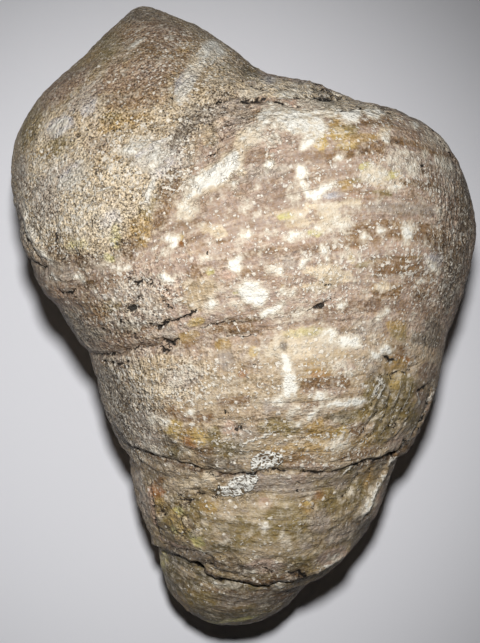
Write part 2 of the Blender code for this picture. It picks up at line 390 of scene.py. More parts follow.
def line_field(lines, reach=1.3):
    """(signed distance, distance, half width) in mm of the nearest of many
    thin lines, drawn as (points, half width mm, wander px) on the surface. The
    sign tells the two sides apart, so that a line far thinner than the mesh
    still has a sharp middle where the sign turns."""
    side = np.full(len(U), 9.0)
    near_to = np.full(len(U), 9.0)
    width = np.zeros(len(U))
    for k, (points, half, wander) in enumerate(lines):
        line, _ = on_surface(wandering(along_curve(points), wander, 700 + k))
        low, high = line.min(0) - reach, line.max(0) + reach
        near = np.flatnonzero(((SURFACE > low) & (SURFACE < high)).all(-1))
        best = np.full(len(near), 1e9)
        sign = np.ones(len(near))
        place = np.zeros(len(near))
        for i, (a, b) in enumerate(zip(line, line[1:])):
            d = b - a
            if d @ d < 1e-9:
                continue
            away = SURFACE[near] - a
            t = np.clip((away @ d) / (d @ d), 0, 1)
            far = np.linalg.norm(away - t[:, None] * d, axis=-1)
            closer = far < best
            best[closer] = far[closer]
            turn = (np.cross(d, away) * OUT[near]).sum(-1)
            sign[closer] = np.where(turn[closer] < 0, -1, 1)
            place[closer] = (i + t[closer]) / (len(line) - 1)
        taken = (best < near_to[near]) & (best < reach)
        where = near[taken]
        near_to[where] = best[taken]
        side[where] = (best * sign)[taken]
        ends = smooth(place, 0, 0.15) * smooth(1 - place, 0, 0.15)
        width[where] = (half * (0.25 + 0.75 * ends))[taken]
    return side, near_to, width


def wandering(px, wander, seed):
    """The same curve, a little less regular."""
    if not wander:
        return px
    t = np.arange(len(px))[:, None] * 0.35
    return px + wander * np.concatenate(
        [
            lattice_noise(np.concatenate([t, 0 * t, 0 * t + 0.3], -1), seed)[:, None],
            lattice_noise(np.concatenate([t, 0 * t + 9.1, 0 * t], -1), seed)[:, None],
        ],
        -1,
    )


def line_distance(points, reach=6.0, wander=0.0, seed=0):
    """Distance in mm of every vertex from a line drawn on the surface.
    Returns (distance, place along the line from 0 to 1)."""
    line, _ = on_surface(wandering(along_curve(points), wander, seed))
    low, high = line.min(0) - reach, line.max(0) + reach
    near = np.flatnonzero(((SURFACE > low) & (SURFACE < high)).all(-1))
    best = np.full(len(near), 1e9)
    place = np.zeros(len(near))
    for k, (a, b) in enumerate(zip(line, line[1:])):
        d = b - a
        t = np.clip(((SURFACE[near] - a) @ d) / max(d @ d, 1e-9), 0, 1)
        far = np.linalg.norm(SURFACE[near] - a - t[:, None] * d, axis=-1)
        closer = far < best
        best[closer] = far[closer]
        place[closer] = (k + t[closer]) / (len(line) - 1)
    distance = np.full(len(U), 1e9)
    where = np.zeros(len(U))
    distance[near] = best
    where[near] = place
    return distance, where


# ---------------------------------------------------------------- features
# All of these are read off the upper side in pixels, and each is drawn on the
# surface as a soft field that the noise below makes ragged.

# The two creases between growth stages.
CREASE_B = (
    (128, 445), (136, 449), (146, 453), (156, 457), (166, 459), (176, 462),
    (188, 465), (197, 469.5), (205, 472), (212, 470.5), (219, 474), (227, 475.5),
    (238, 473.5), (248, 474.5), (258, 473.5), (268, 471.5), (282, 471),
    (300, 472), (316, 473), (328, 472), (338, 471), (347, 468), (357, 464.5),
    (367, 461), (380, 459.5), (387, 455), (395, 453.5), (403, 445),
)
CREASE_A = (
    (156, 546), (168, 553), (182, 558), (192, 562.5), (200, 569), (208, 577),
    (218, 581), (230, 581), (240, 583), (252, 586), (267, 587), (275, 584),
    (285, 583), (298, 581), (307, 577.5), (313, 575),
)
# Dark cracks: points, half width mm, depth mm, darkness 0 to 1. The first rows
# lie in the creases and are painted shade, dark where shade falls in them.
CRACKS = (
    # Painted shade along crease B.
    (((148, 452), (160, 457), (176, 462), (188, 465), (197, 469.5), (205, 472)), 0.1, 0.0, 0.55),
    (((205, 472), (212, 470.5), (219, 474), (227, 475.5), (238, 473.5), (248, 474.5), (258, 473.5), (268, 471.5), (282, 471), (300, 472)), 0.14, 0.0, 0.85),
    (((298, 472), (316, 473), (328, 472), (338, 471), (347, 468), (357, 464.5), (367, 461)), 0.22, 0.0, 1.0),
    (((362, 463), (380, 459.5), (387, 455), (395, 453.5), (403, 445), (410, 437), (418, 427)), 0.3, 0.1, 1.0),
    # A painted shadow under the ledge of crease A, then painted shade along crease A.
    (((160, 545), (168, 553), (182, 558.5), (192, 562.5), (198, 566)), 0.16, 0.0, 0.7),
    (((200, 570), (208, 577.5), (218, 581), (230, 581.5), (240, 583)), 0.17, 0.0, 0.8),
    (((238, 583), (252, 586), (267, 587), (275, 584)), 0.17, 0.0, 0.85),
    (((281, 584), (290, 583), (298, 581), (307, 577.5)), 0.19, 0.0, 0.9),
    (((261, 566), (268, 570), (274, 573)), 0.1, 0.2, 0.7),
    (((280, 576), (286, 575), (292, 574), (298, 572.5), (307, 576)), 0.2, 0.35, 0.95),
    (((161, 540), (175, 548), (187, 551.5), (198, 553), (208, 556.5), (218, 563), (228, 567)), 0.09, 0.3, 0.6),
    (((215, 567), (205, 563.5), (196, 562.5)), 0.16, 0.2, 0.9),
    (((151, 478), (151, 491), (153, 505), (154, 518), (158, 532), (162, 540)), 0.13, 0.45, 0.75),
    (((178, 498), (185, 500), (192, 502.5), (195, 497)), 0.1, 0.35, 0.8),
    (((388, 376), (397, 372.5), (405, 373), (413, 367.5), (418, 362)), 0.14, 0.35, 0.85),
    (((417, 392), (425, 387.5), (432, 382)), 0.15, 0.35, 0.95),
    (((381, 372), (378, 388), (371, 405), (364, 418)), 0.08, 0.25, 0.3),
    (((388, 376), (391, 392), (387, 410), (378, 427), (366, 440)), 0.08, 0.3, 0.4),
    (((400, 390), (397, 408), (389, 424), (380, 436)), 0.07, 0.3, 0.45),
    (((382, 402), (374, 418), (364, 432)), 0.07, 0.25, 0.4),
    (((404, 408), (399, 420), (391, 430)), 0.08, 0.25, 0.5),
    (((378, 412), (368, 426), (358, 438)), 0.08, 0.25, 0.55),
    (((412, 404), (408, 418), (400, 432), (392, 444)), 0.09, 0.3, 0.6),
    (((368, 434), (360, 444), (352, 452)), 0.07, 0.2, 0.55),
    (((396, 436), (386, 446), (376, 452)), 0.07, 0.2, 0.5),
    (((431, 388), (427, 402), (423, 415), (416, 428), (410, 437)), 0.13, 0.35, 0.85),
    (((360, 470), (354, 482), (346, 494), (334, 502)), 0.08, 0.3, 0.55),
    (((372, 466), (368, 480), (362, 492)), 0.08, 0.25, 0.5),
    (((300, 505), (306, 500), (314, 502), (312, 510), (304, 511)), 0.07, 0.2, 0.55),
    (((164, 494), (172, 505), (182, 515), (192, 528)), 0.06, 0.35, 0.5),
    (((158, 508), (166, 520), (176, 532), (188, 542)), 0.07, 0.35, 0.6),
    (((172, 490), (182, 497), (192, 510), (200, 520)), 0.06, 0.3, 0.45),
    (((216, 104), (224, 100), (232, 101)), 0.12, 0.3, 0.85),
    (((236, 101.5), (250, 100.5), (262, 100), (275, 101), (290, 105), (304, 104)), 0.11, 0.35, 0.8),
    (((240, 89), (250, 85.5), (258, 86), (263, 89), (275, 90), (290, 88)), 0.11, 0.35, 0.8),
    (((288, 98.5), (300, 97), (312, 97), (322, 100), (330, 99), (342, 96)), 0.16, 0.4, 0.9),
    (((310, 88), (325, 90), (332, 95), (340, 102)), 0.12, 0.35, 0.85),
    (((300, 80), (316, 84), (330, 91), (344, 98)), 0.1, 0.3, 0.7),
    (((222, 92), (236, 95), (250, 96), (258, 97)), 0.08, 0.25, 0.6),
    (((328, 109), (342, 112), (352, 108), (366, 107)), 0.1, 0.25, 0.7),
    (((366, 106), (384, 110), (400, 115), (416, 122), (430, 128)), 0.11, 0.3, 0.75),
    (((430, 128), (437, 136), (446, 148), (455, 162), (462, 178)), 0.13, 0.35, 0.85),
    (((238, 156), (241, 152), (247, 149)), 0.1, 0.25, 0.8),
    (((268, 153), (274, 148), (280, 154)), 0.06, 0.15, 0.5),
    (((196, 131), (206, 124), (214, 127)), 0.08, 0.2, 0.55),
    (((218, 133), (222, 142), (218, 150), (208, 155)), 0.09, 0.25, 0.6),
    (((306, 311), (312, 308)), 0.07, 0.2, 0.7),
    (((312, 307.5), (318, 305.5), (326, 304)), 0.19, 0.35, 1.0),
    (((325, 303), (331, 300), (336, 297)), 0.12, 0.3, 0.95),
    (((324, 283), (330, 285), (336, 283)), 0.07, 0.2, 0.6),
    (((56, 288), (62, 293), (70, 293), (75, 290), (80, 286), (84, 287)), 0.15, 0.5, 0.85),
    (((92, 355), (102, 355), (112, 355), (124, 352), (134, 348), (141, 346)), 0.17, 0.5, 0.65),
    (((141, 346), (150, 347), (158, 347)), 0.13, 0.4, 0.6),
    (((153, 326), (158, 328), (163, 325), (167, 321)), 0.22, 0.5, 0.95),
    (((167, 321), (176, 320), (186, 316), (193, 312), (200, 308)), 0.12, 0.4, 0.8),
    (((163, 337), (168, 342), (173, 345), (178, 340)), 0.19, 0.5, 0.9),
    (((158, 346), (163, 348), (168, 352)), 0.2, 0.4, 0.9),
    (((132, 281), (137, 284), (142, 281), (148, 284), (154, 281)), 0.12, 0.3, 0.8),
    (((384, 357), (390, 359), (396, 360)), 0.16, 0.3, 0.9),
    (((183, 484), (188, 478), (196, 480), (199, 488), (196, 496)), 0.1, 0.3, 0.5),
    (((206, 474), (214, 478), (219, 486), (217, 493)), 0.1, 0.3, 0.5),
    (((186, 492), (194, 491), (202, 495), (214, 497), (226, 499)), 0.09, 0.3, 0.5),
    (((28, 258), (38, 266), (48, 270)), 0.14, 0.45, 0.7),
    (((60, 262), (66, 256), (80, 254)), 0.09, 0.3, 0.5),
    (((200, 326), (216, 324), (230, 322), (246, 322)), 0.07, 0.2, 0.6),
    (((220, 334), (238, 336), (254, 334), (266, 330)), 0.06, 0.2, 0.6),
)
# The fan of thin dark layers in the valley between rim and matrix.
FAN = (
    ((262, 99), (236, 105), (214, 116), (199, 132), (188, 150)),
    ((258, 92), (228, 98), (206, 110), (190, 128), (178, 147)),
    ((250, 110), (230, 118), (214, 130), (202, 146), (190, 164)),
    ((230, 94), (206, 103), (188, 118), (172, 138)),
    ((206, 150), (194, 162), (184, 178), (172, 196)),
    ((222, 124), (208, 136), (200, 150)),
    ((184, 132), (174, 150), (166, 168), (158, 190)),
    ((196, 118), (182, 132), (170, 150)),
    ((176, 168), (168, 184), (160, 204), (150, 224)),
    ((160, 214), (152, 226), (146, 240)),
)
# Folds of the wrinkled wall: points, half width mm, height mm (negative: furrow).
FOLDS = (
    (((385, 364), (382, 378), (378, 393), (372, 408), (362, 421), (350, 432)), 0.5, 0.26),
    (((400, 380), (398, 394), (390, 409), (380, 420)), 0.6, 0.16),
    (((391, 384), (387, 396), (380, 410), (366, 424)), 0.5, 0.14),
    (((408, 384), (403, 400), (394, 418), (382, 434)), 0.7, 0.22),
    (((419, 396), (412, 410), (403, 422)), 0.5, 0.2),
    (((437, 383), (430, 397), (425, 412), (417, 430), (406, 447), (396, 456)), 0.5, 0.36),
    (((404, 444), (396, 455), (388, 464), (382, 477), (374, 490), (367, 503), (361, 519)), 0.55, 0.6),
    (((352, 543), (342, 554), (328, 563), (312, 571)), 0.5, 0.45),
    (((150, 478), (155, 494), (158, 512), (162, 532)), 0.5, 0.4),
    (((134, 452), (146, 462), (158, 469), (172, 472)), 0.35, 0.3),
    (((24, 205), (27, 222), (34, 240), (45, 256)), 0.5, 0.3),
    (((19, 208), (22, 226), (30, 246), (42, 262)), 0.3, -0.4),
    (((56, 222), (56, 240), (57, 256)), 0.25, -0.3),
    (((60, 280), (66, 272), (76, 268)), 0.5, 0.3),
    (((274, 340), (278, 350), (281, 358)), 0.2, 0.25),
    (((288, 340), (289, 350), (290, 358)), 0.2, 0.2),
)
# Patches where the wall is wrinkled: centre, half sizes, turn of the patch,
# direction of the folds in degrees, fold spacing and length in pixels, height
# mm, and how much dirt lies in the furrows.
WRINKLES = (
    (402, 402, 34, 50, 20, 62, 9.0, 34, 0.13, 0.15),
    (176, 522, 26, 32, 0, -56, 7.0, 24, 0.26, 0.45),
    (120, 412, 26, 44, 30, -52, 5.5, 22, 0.17, 0.35),
    (178, 464, 46, 12, -16, -18, 5.0, 30, 0.20, 0.35),
    (24, 222, 18, 56, 10, -66, 6.5, 20, 0.22, 0.35),
    (72, 270, 40, 18, 0, -10, 8.0, 20, 0.22, 0.3),
    (322, 93, 84, 16, -14, -14, 5.5, 20, 0.30, 0.3),
    (222, 122, 46, 30, 30, 40, 5.0, 24, 0.13, 0.35),
    (182, 150, 22, 40, -25, 58, 4.5, 26, 0.12, 0.35),
    (262, 570, 72, 16, -3, -12, 11.0, 18, 0.30, 0.35),
    (458, 232, 20, 90, 0, 84, 6.0, 18, 0.18, 0.35),
    (330, 522, 40, 30, 30, 34, 8.0, 22, 0.18, 0.25),
    (215, 490, 48, 18, -5, 10, 10.0, 14, 0.24, 0.3),
    (250, 605, 70, 22, 8, 12, 5.0, 50, 0.12, 0.2),
    (176, 596, 24, 32, 20, -62, 5.0, 40, 0.12, 0.2),
    (376, 512, 22, 40, -30, 62, 6.0, 34, 0.15, 0.25),
    (148, 505, 12, 44, 10, -74, 5.0, 30, 0.15, 0.25),
    (200, 120, 110, 100, 0, 42, 4.2, 9, 0.12, 0.25),
    (90, 200, 90, 70, 0, 38, 4.2, 8, 0.13, 0.25),
)
# Dark pits: x, y, half sizes in pixels, turn.
PITS = (
    (199, 567, 6.5, 3.6, -25), (196, 562, 3.6, 1.3, -20), (226, 413, 3.2, 1.5, -32),
    (239, 429, 4.6, 2.1, 15), (240, 453, 2.0, 1.2, 0), (131, 309, 5.0, 3.7, 20),
    (125, 313, 2.2, 1.5, 0), (139, 298, 3.2, 1.5, 20), (133, 301, 2.0, 1.3, 0),
    (166, 291, 2.8, 2.0, -20), (168, 294, 1.8, 1.5, 0), (164, 301, 1.7, 2.0, 0),
    (167, 306, 2.0, 1.6, 0), (171, 309, 1.5, 2.0, 0), (163, 307, 1.5, 1.3, 0),
    (158, 328, 3.8, 1.7, -15), (167, 322, 3.4, 1.7, 30), (163, 341, 2.0, 2.0, 0),
    (170, 343, 3.0, 1.7, 0), (177, 340, 2.4, 1.3, 25), (161, 349, 2.0, 1.8, 0),
    (168, 352, 1.5, 1.3, 0), (104, 362, 2.2, 1.5, 0), (111, 363, 2.4, 1.8, 0),
    (120, 364, 3.6, 1.4, 0), (127, 362, 1.8, 1.2, 0), (120, 321, 1.3, 1.8, 0),
    (102, 329, 1.8, 1.4, 0), (109, 332, 1.4, 1.8, 0), (135, 283, 1.8, 1.5, 0),
    (143, 282, 2.0, 1.3, 20), (147, 272, 1.2, 1.9, 0), (141, 277, 1.2, 1.8, 0),
    (172, 74, 1.3, 2.2, -20), (177, 70, 1.0, 1.0, 0), (172, 97, 1.8, 1.7, 0),
    (387, 154, 1.9, 2.1, -40), (398, 183, 3.0, 1.3, 10), (423, 166, 1.4, 2.2, 0),
    (380, 142, 2.2, 1.1, 10), (325, 283, 2.2, 1.0, -10), (280, 198, 2.0, 1.0, 10),
    (256, 86, 2.8, 1.5, 0), (264, 98, 3.0, 1.6, 10), (326, 98, 7.0, 2.6, 4),
    (316, 96, 3.0, 1.4, 0), (342, 98, 3.6, 1.4, -12), (298, 484, 2.0, 1.2, 0),
    (297, 491, 1.4, 1.4, 0), (207, 254, 1.1, 2.2, 0), (155, 258, 1.3, 2.8, -30),
    (187, 118, 1.0, 1.0, 0), (256, 365, 2.4, 1.2, 8), (250, 304, 1.0, 1.0, 0),
    (392, 454, 4.0, 1.8, 25), (404, 441, 3.0, 1.4, 50), (296, 576, 3.0, 1.2, 0),
    (264, 585, 3.5, 1.4, 0), (222, 579, 4.0, 1.2, -10),
)
# White calcite: strokes (points, half width in pixels, strength).
WHITE_STROKES = (
    (((431, 384), (428, 398), (424, 412), (417, 426), (408, 440), (402, 447)), 1.3, 0.8),
    (((383, 379), (379, 386), (375, 395)), 1.2, 0.95), (((386, 384), (381, 392), (377, 399)), 1.0, 0.8),
    (((400, 380), (398, 392), (393, 404)), 0.8, 0.5), (((411, 386), (408, 398), (402, 410)), 0.8, 0.5),
    (((126, 154), (140, 148), (152, 146)), 2.2, 0.62), (((140, 161), (156, 152), (168, 147)), 2.6, 0.64),
    (((158, 166), (170, 153)), 2.2, 0.6), (((181, 92), (190, 78)), 3.2, 0.58),
    (((201, 64), (212, 50)), 3.2, 0.64), (((212, 60), (222, 49)), 2.4, 0.56),
    (((50, 134), (66, 121)), 2.2, 0.55), (((60, 187), (78, 174)), 2.6, 0.56),
    (((147, 202), (153, 184)), 2.0, 0.6), (((27, 206), (26, 226), (32, 242)), 2.2, 0.6),
    (((38, 248), (50, 260)), 2.2, 0.6), (((130, 50), (140, 41)), 2.0, 0.55),
    (((124, 153), (134, 148), (144, 146)), 1.3, 0.8), (((138, 158), (150, 150), (160, 148)), 1.3, 0.8),
    (((146, 164), (156, 156), (168, 150)), 1.2, 0.7), (((158, 166), (166, 158), (176, 150)), 1.2, 0.7),
    (((130, 146), (142, 140), (150, 139)), 1.0, 0.6), (((150, 144), (162, 140), (172, 138)), 1.0, 0.6),
    (((174, 95), (182, 86), (192, 76)), 1.4, 0.8), (((182, 98), (190, 88), (197, 78)), 1.1, 0.7),
    (((198, 66), (206, 56), (214, 46)), 1.3, 0.8), (((206, 68), (216, 58), (224, 52)), 1.2, 0.7),
    (((196, 56), (204, 47), (210, 42)), 1.1, 0.7), (((128, 50), (134, 44), (142, 39)), 1.1, 0.8),
    (((48, 130), (56, 124), (66, 118)), 1.1, 0.7), (((54, 138), (64, 130), (72, 127)), 1.1, 0.6),
    (((56, 188), (68, 178), (80, 171)), 1.2, 0.7), (((64, 192), (76, 182), (88, 176)), 1.1, 0.6),
    (((146, 203), (149, 192), (155, 178)), 1.6, 0.8), (((28, 210), (26, 224), (30, 240)), 1.6, 0.7),
    (((34, 244), (42, 254), (52, 262)), 1.5, 0.7), (((92, 196), (104, 188), (112, 186)), 1.0, 0.5),
    (((299, 167), (301, 172), (300, 178)), 5.4, 1.0),
    (((301, 180), (304, 188), (309, 196)), 3.4, 1.0),
    (((309, 197), (317, 194), (326, 188), (332, 184)), 4.8, 1.0),
    (((302, 148), (308, 142), (312, 134)), 4.6, 0.85),
    (((267, 166), (271, 163)), 4.4, 0.95),
    (((166, 240), (172, 239), (178, 238)), 4.4, 1.0),
    (((160, 256), (168, 250), (176, 244)), 3.0, 0.75),
    (((229, 266), (235, 265), (240, 258)), 5.0, 1.0),
    (((234, 262), (238, 266), (238, 272)), 4.0, 0.95),
    (((263, 314), (272, 310), (284, 304)), 4.2, 1.0),
    (((373, 357), (377, 354)), 5.6, 1.0),
    (((380, 354), (385, 349), (389, 353)), 4.4, 0.85),
    (((283, 356), (286, 364), (289, 372), (292, 380), (290, 391)), 5.0, 1.0),
    (((291, 374), (291, 384), (288, 392)), 7.4, 1.0),
    (((298, 425), (305, 421), (311, 417)), 2.2, 0.7),
    (((309, 417), (316, 411), (322, 406)), 3.2, 1.0),
    (((320, 406), (332, 405), (344, 403)), 3.8, 0.95),
    (((340, 403), (352, 402), (364, 401)), 3.8, 1.0),
    (((316, 398), (322, 396), (328, 398)), 4.6, 0.9),
    (((270, 402), (282, 399), (294, 397)), 4.4, 0.6),
    (((290, 416), (294, 412), (298, 408)), 4.0, 0.6),
    (((276, 320), (296, 316), (316, 312)), 5.0, 0.35),
    (((240, 236), (250, 234)), 4.4, 0.75),
    (((286, 238), (296, 236)), 5.0, 0.7),
    (((268, 270), (280, 270)), 4.4, 0.65),
    (((340, 306), (346, 306)), 3.2, 0.8),
    (((262, 352), (280, 346), (300, 348)), 8.0, 0.3),
    (((328, 364), (344, 370), (356, 366)), 7.0, 0.4),
    (((322, 246), (326, 254), (328, 262)), 2.4, 0.7),
    (((301, 268), (304, 262), (309, 259)), 2.6, 0.8),
    (((430, 262), (434, 268), (438, 274)), 2.6, 0.85),
    (((418, 282), (424, 280)), 2.2, 0.7),
    (((378, 320), (382, 314), (388, 310)), 2.6, 0.7),
    (((372, 396), (377, 388), (381, 379)), 0.9, 1.0),
    (((376, 393), (379, 388)), 0.8, 0.9),
    (((418, 392), (419, 402), (420, 408)), 1.2, 1.0),
    (((434, 386), (431, 395), (428, 401)), 1.3, 1.0),
    (((424, 412), (419, 422), (410, 436), (402, 447)), 1.1, 0.9),
    (((188, 196), (198, 184), (210, 176), (224, 170)), 8.0, 0.85),
    (((214, 180), (226, 168), (236, 156)), 10.0, 0.95),
    (((228, 172), (232, 164), (236, 158)), 6.0, 1.0),
    (((184, 214), (188, 206), (194, 202)), 9.0, 0.55),
    (((246, 136), (256, 132), (264, 140)), 9.0, 0.55),
    (((266, 118), (280, 118), (298, 122), (316, 124)), 12.0, 0.78),
    (((284, 126), (296, 124), (308, 124)), 6.0, 0.95),
    (((266, 106), (278, 108), (292, 112)), 6.0, 0.6),
    (((300, 104), (314, 108), (330, 108)), 6.0, 0.5),
    (((306, 134), (312, 138), (318, 130), (324, 127)), 4.0, 0.8),
    (((342, 112), (350, 116), (358, 113)), 7.0, 0.9),
    (((366, 111), (374, 115), (384, 113)), 5.0, 0.92),
    (((412, 123), (418, 125)), 3.4, 0.95),
    (((436, 160), (446, 164), (452, 172)), 4.2, 0.6),
    (((428, 131), (437, 140), (446, 149)), 2.4, 0.5),
    (((440, 134), (446, 140), (449, 146)), 2.6, 0.75),
    (((296, 186), (292, 198), (300, 204)), 5.0, 0.45),
    (((320, 206), (340, 212), (356, 208)), 6.0, 0.42),
    (((340, 224), (346, 228), (352, 224)), 5.0, 0.6),
    (((316, 230), (330, 226), (342, 222)), 5.0, 0.5),
    (((366, 176), (376, 172), (384, 176)), 8.0, 0.55),
    (((392, 160), (402, 158), (410, 164)), 8.0, 0.42),
    (((386, 186), (392, 188), (398, 186)), 4.0, 0.6),
    (((408, 168), (414, 174)), 4.0, 0.6),
    (((404, 228), (408, 236), (406, 242)), 4.0, 0.75),
    (((378, 228), (382, 231)), 3.4, 0.8),
    (((344, 256), (352, 252), (358, 262)), 5.0, 0.5),
    (((206, 48), (214, 46), (221, 52)), 6.0, 0.8),
    (((180, 98), (188, 82), (196, 68), (204, 56)), 6.0, 0.55),
    (((128, 50), (134, 46), (141, 41)), 1.8, 0.9),
    (((120, 152), (132, 149), (144, 146)), 4.5, 0.75),
    (((146, 166), (156, 156), (168, 147)), 8.0, 0.6),
    (((148, 202), (149, 192), (153, 182)), 2.2, 0.6),
    (((64, 184), (74, 177), (84, 169)), 5.0, 0.65),
    (((160, 276), (167, 278), (172, 280)), 4.0, 0.8),
    (((74, 276), (80, 277), (83, 281)), 2.8, 0.8),
    (((50, 272), (56, 278), (60, 282)), 1.8, 0.8),
    (((202, 257), (210, 258), (217, 256)), 2.4, 0.8),
    (((206, 306), (212, 304), (216, 302)), 3.6, 0.7),
    (((116, 269), (122, 268), (130, 266)), 2.2, 0.6),
    (((105, 262), (112, 258), (118, 262)), 4.0, 0.45),
    (((334, 446), (340, 443), (346, 441)), 4.0, 0.55),
    (((242, 444), (254, 440), (264, 436), (276, 432)), 1.2, 0.4),
    (((342, 476), (348, 471), (354, 468)), 1.4, 0.8),
    (((404, 445), (397, 455), (388, 463)), 1.8, 0.8),
    (((392, 462), (387, 470), (381, 478), (376, 486), (371, 496)), 1.5, 0.85),
    (((374, 488), (371, 497), (366, 505), (361, 516)), 3.2, 0.85),
    (((340, 556), (334, 561), (322, 565)), 1.8, 0.8),
    (((134, 470), (140, 480), (146, 494)), 1.4, 0.35),
    (((148, 446), (156, 452), (162, 458)), 2.4, 0.6),
    (((168, 236), (172, 243)), 2.5, 0.7),
    (((248, 203), (252, 206)), 2.4, 0.9),
    (((241, 210), (244, 209)), 2.0, 0.8),
    (((236, 243), (242, 242)), 3.0, 0.8),
    (((300, 236), (306, 234)), 2.6, 0.6),
    (((272, 232), (276, 234)), 2.6, 0.7),
    (((378, 286), (382, 290)), 2.6, 0.7),
    (((198, 551), (206, 554)), 1.6, 0.9),
    (((213, 584), (217, 585)), 1.4, 0.9),
    (((222, 585), (226, 586)), 1.2, 0.8),
    (((274, 585), (280, 588)), 1.4, 0.8),
    (((278, 590), (284, 587)), 1.2, 0.6),
    (((285, 538), (287, 546)), 3.5, 0.5),
    (((262, 526), (268, 530)), 4.0, 0.5),
    (((410, 224), (414, 232)), 3.6, 0.5),
    (((452, 224), (454, 236)), 1.8, 0.6),
    (((378, 230), (382, 232)), 3.0, 0.6),
)
# White calcite, round patches: x, y, half sizes, turn, strength.
WHITE_SPOTS = (
    (253, 293, 16, 13, -10, 1.0), (347, 341, 13, 7.5, 0, 0.95), (330, 336, 9, 7, 0, 0.6),
    (212, 304, 6, 5, 0, 0.9), (210, 257, 9, 4, 0, 0.75), (288, 292, 8, 5, 0, 0.6),
    (244, 294, 22, 16, 0, 0.32), (152, 419, 6, 5, 0, 0.7), (164, 422, 5, 4, 0, 0.6),
    (190, 412, 4, 3, 0, 0.7), (176, 385, 5, 3, 0, 0.6), (190, 372, 10, 5, 0, 0.5),
    (235, 482, 6, 5, 0, 0.3), (282, 306, 3, 2.5, 0, 0.9),
    (150, 152, 8, 5, 20, 0.4), (234, 183, 3.5, 3, 0, 0.9),
    (257, 188, 2.6, 2.2, 0, 0.9), (246, 203, 4, 3, 20, 0.95), (241, 210, 3, 2.4, 0, 0.9),
    (257, 213, 2.4, 2.4, 0, 0.7), (338, 158, 3, 2.4, 0, 0.8), (422, 155, 3.4, 2.4, 0, 0.7),
    (326, 128, 2.6, 2.4, 0, 0.9), (386, 137, 4, 5, 0, 0.6), (253, 136, 9, 9, 0, 0.6),
    (272, 140, 9, 6, 0, 0.55), (332, 112, 8, 6, 0, 0.6), (290, 92, 10, 5, 0, 0.5),
    (250, 92, 9, 4, 0, 0.5), (272, 234, 3, 3, 0, 0.7), (306, 236, 4, 3, 0, 0.6),
    (296, 216, 4, 3, 0, 0.5), (364, 236, 3, 3, 0, 0.7), (440, 212, 4, 3, 0, 0.5),
    (216, 584.5, 1.8, 1.2, 0, 1.5), (221, 586, 1.6, 1.2, 0, 1.5), (227, 586, 1.8, 1.3, 0, 1.5),
    (232, 587, 1.6, 1.2, 0, 1.4), (238, 587.5, 1.6, 1.2, 0, 1.4), (210, 553, 2, 1.3, 0, 1.3),
    (278, 587, 1.8, 1.2, 0, 1.3), (274, 589, 1.4, 1.1, 0, 1.2), (283, 584, 1.6, 1.1, 0, 1.2),
    (257, 557, 1.6, 1.2, 0, 1.3), (251, 571, 3.5, 1.6, 0, 0.8), (334, 557, 4, 2, 25, 0.8),
    (225, 541, 2.5, 2, 0, 0.8), (284, 541, 2.2, 4.5, 10, 0.7), (264, 524, 2.5, 2, 0, 0.8),
    (371, 503, 4, 3, 40, 0.9), (352, 492, 1.6, 3, -30, 0.9),
)
# Lacy crusts: x, y, half sizes, turn.
LACE = (
    (268, 460, 16, 9, 8), (240, 486, 18, 9, 24), (225, 492, 10, 6, 0),
    (252, 479, 7, 6, 0), (258, 466, 8, 5, 0),
)

# Colours of the stone and its stains, lit evenly.
PALETTE = {
    "white": (246, 242, 232), "cream": (231, 213, 184), "sand": (196, 176, 146),
    "mauve": (182, 159, 142), "pink": (203, 173, 153), "dusk": (152, 127, 107),
    "umber": (112, 88, 64), "brown": (138, 109, 80), "olive": (140, 123, 82),
    "moss": (112, 101, 72), "ochre": (176, 145, 94), "gold": (203, 175, 116),
    "rust": (164, 112, 70), "lemon": (208, 198, 136), "slate": (112, 101, 87),
    "ash": (174, 159, 144), "blue": (202, 199, 200), "soot": (58, 50, 42),
}
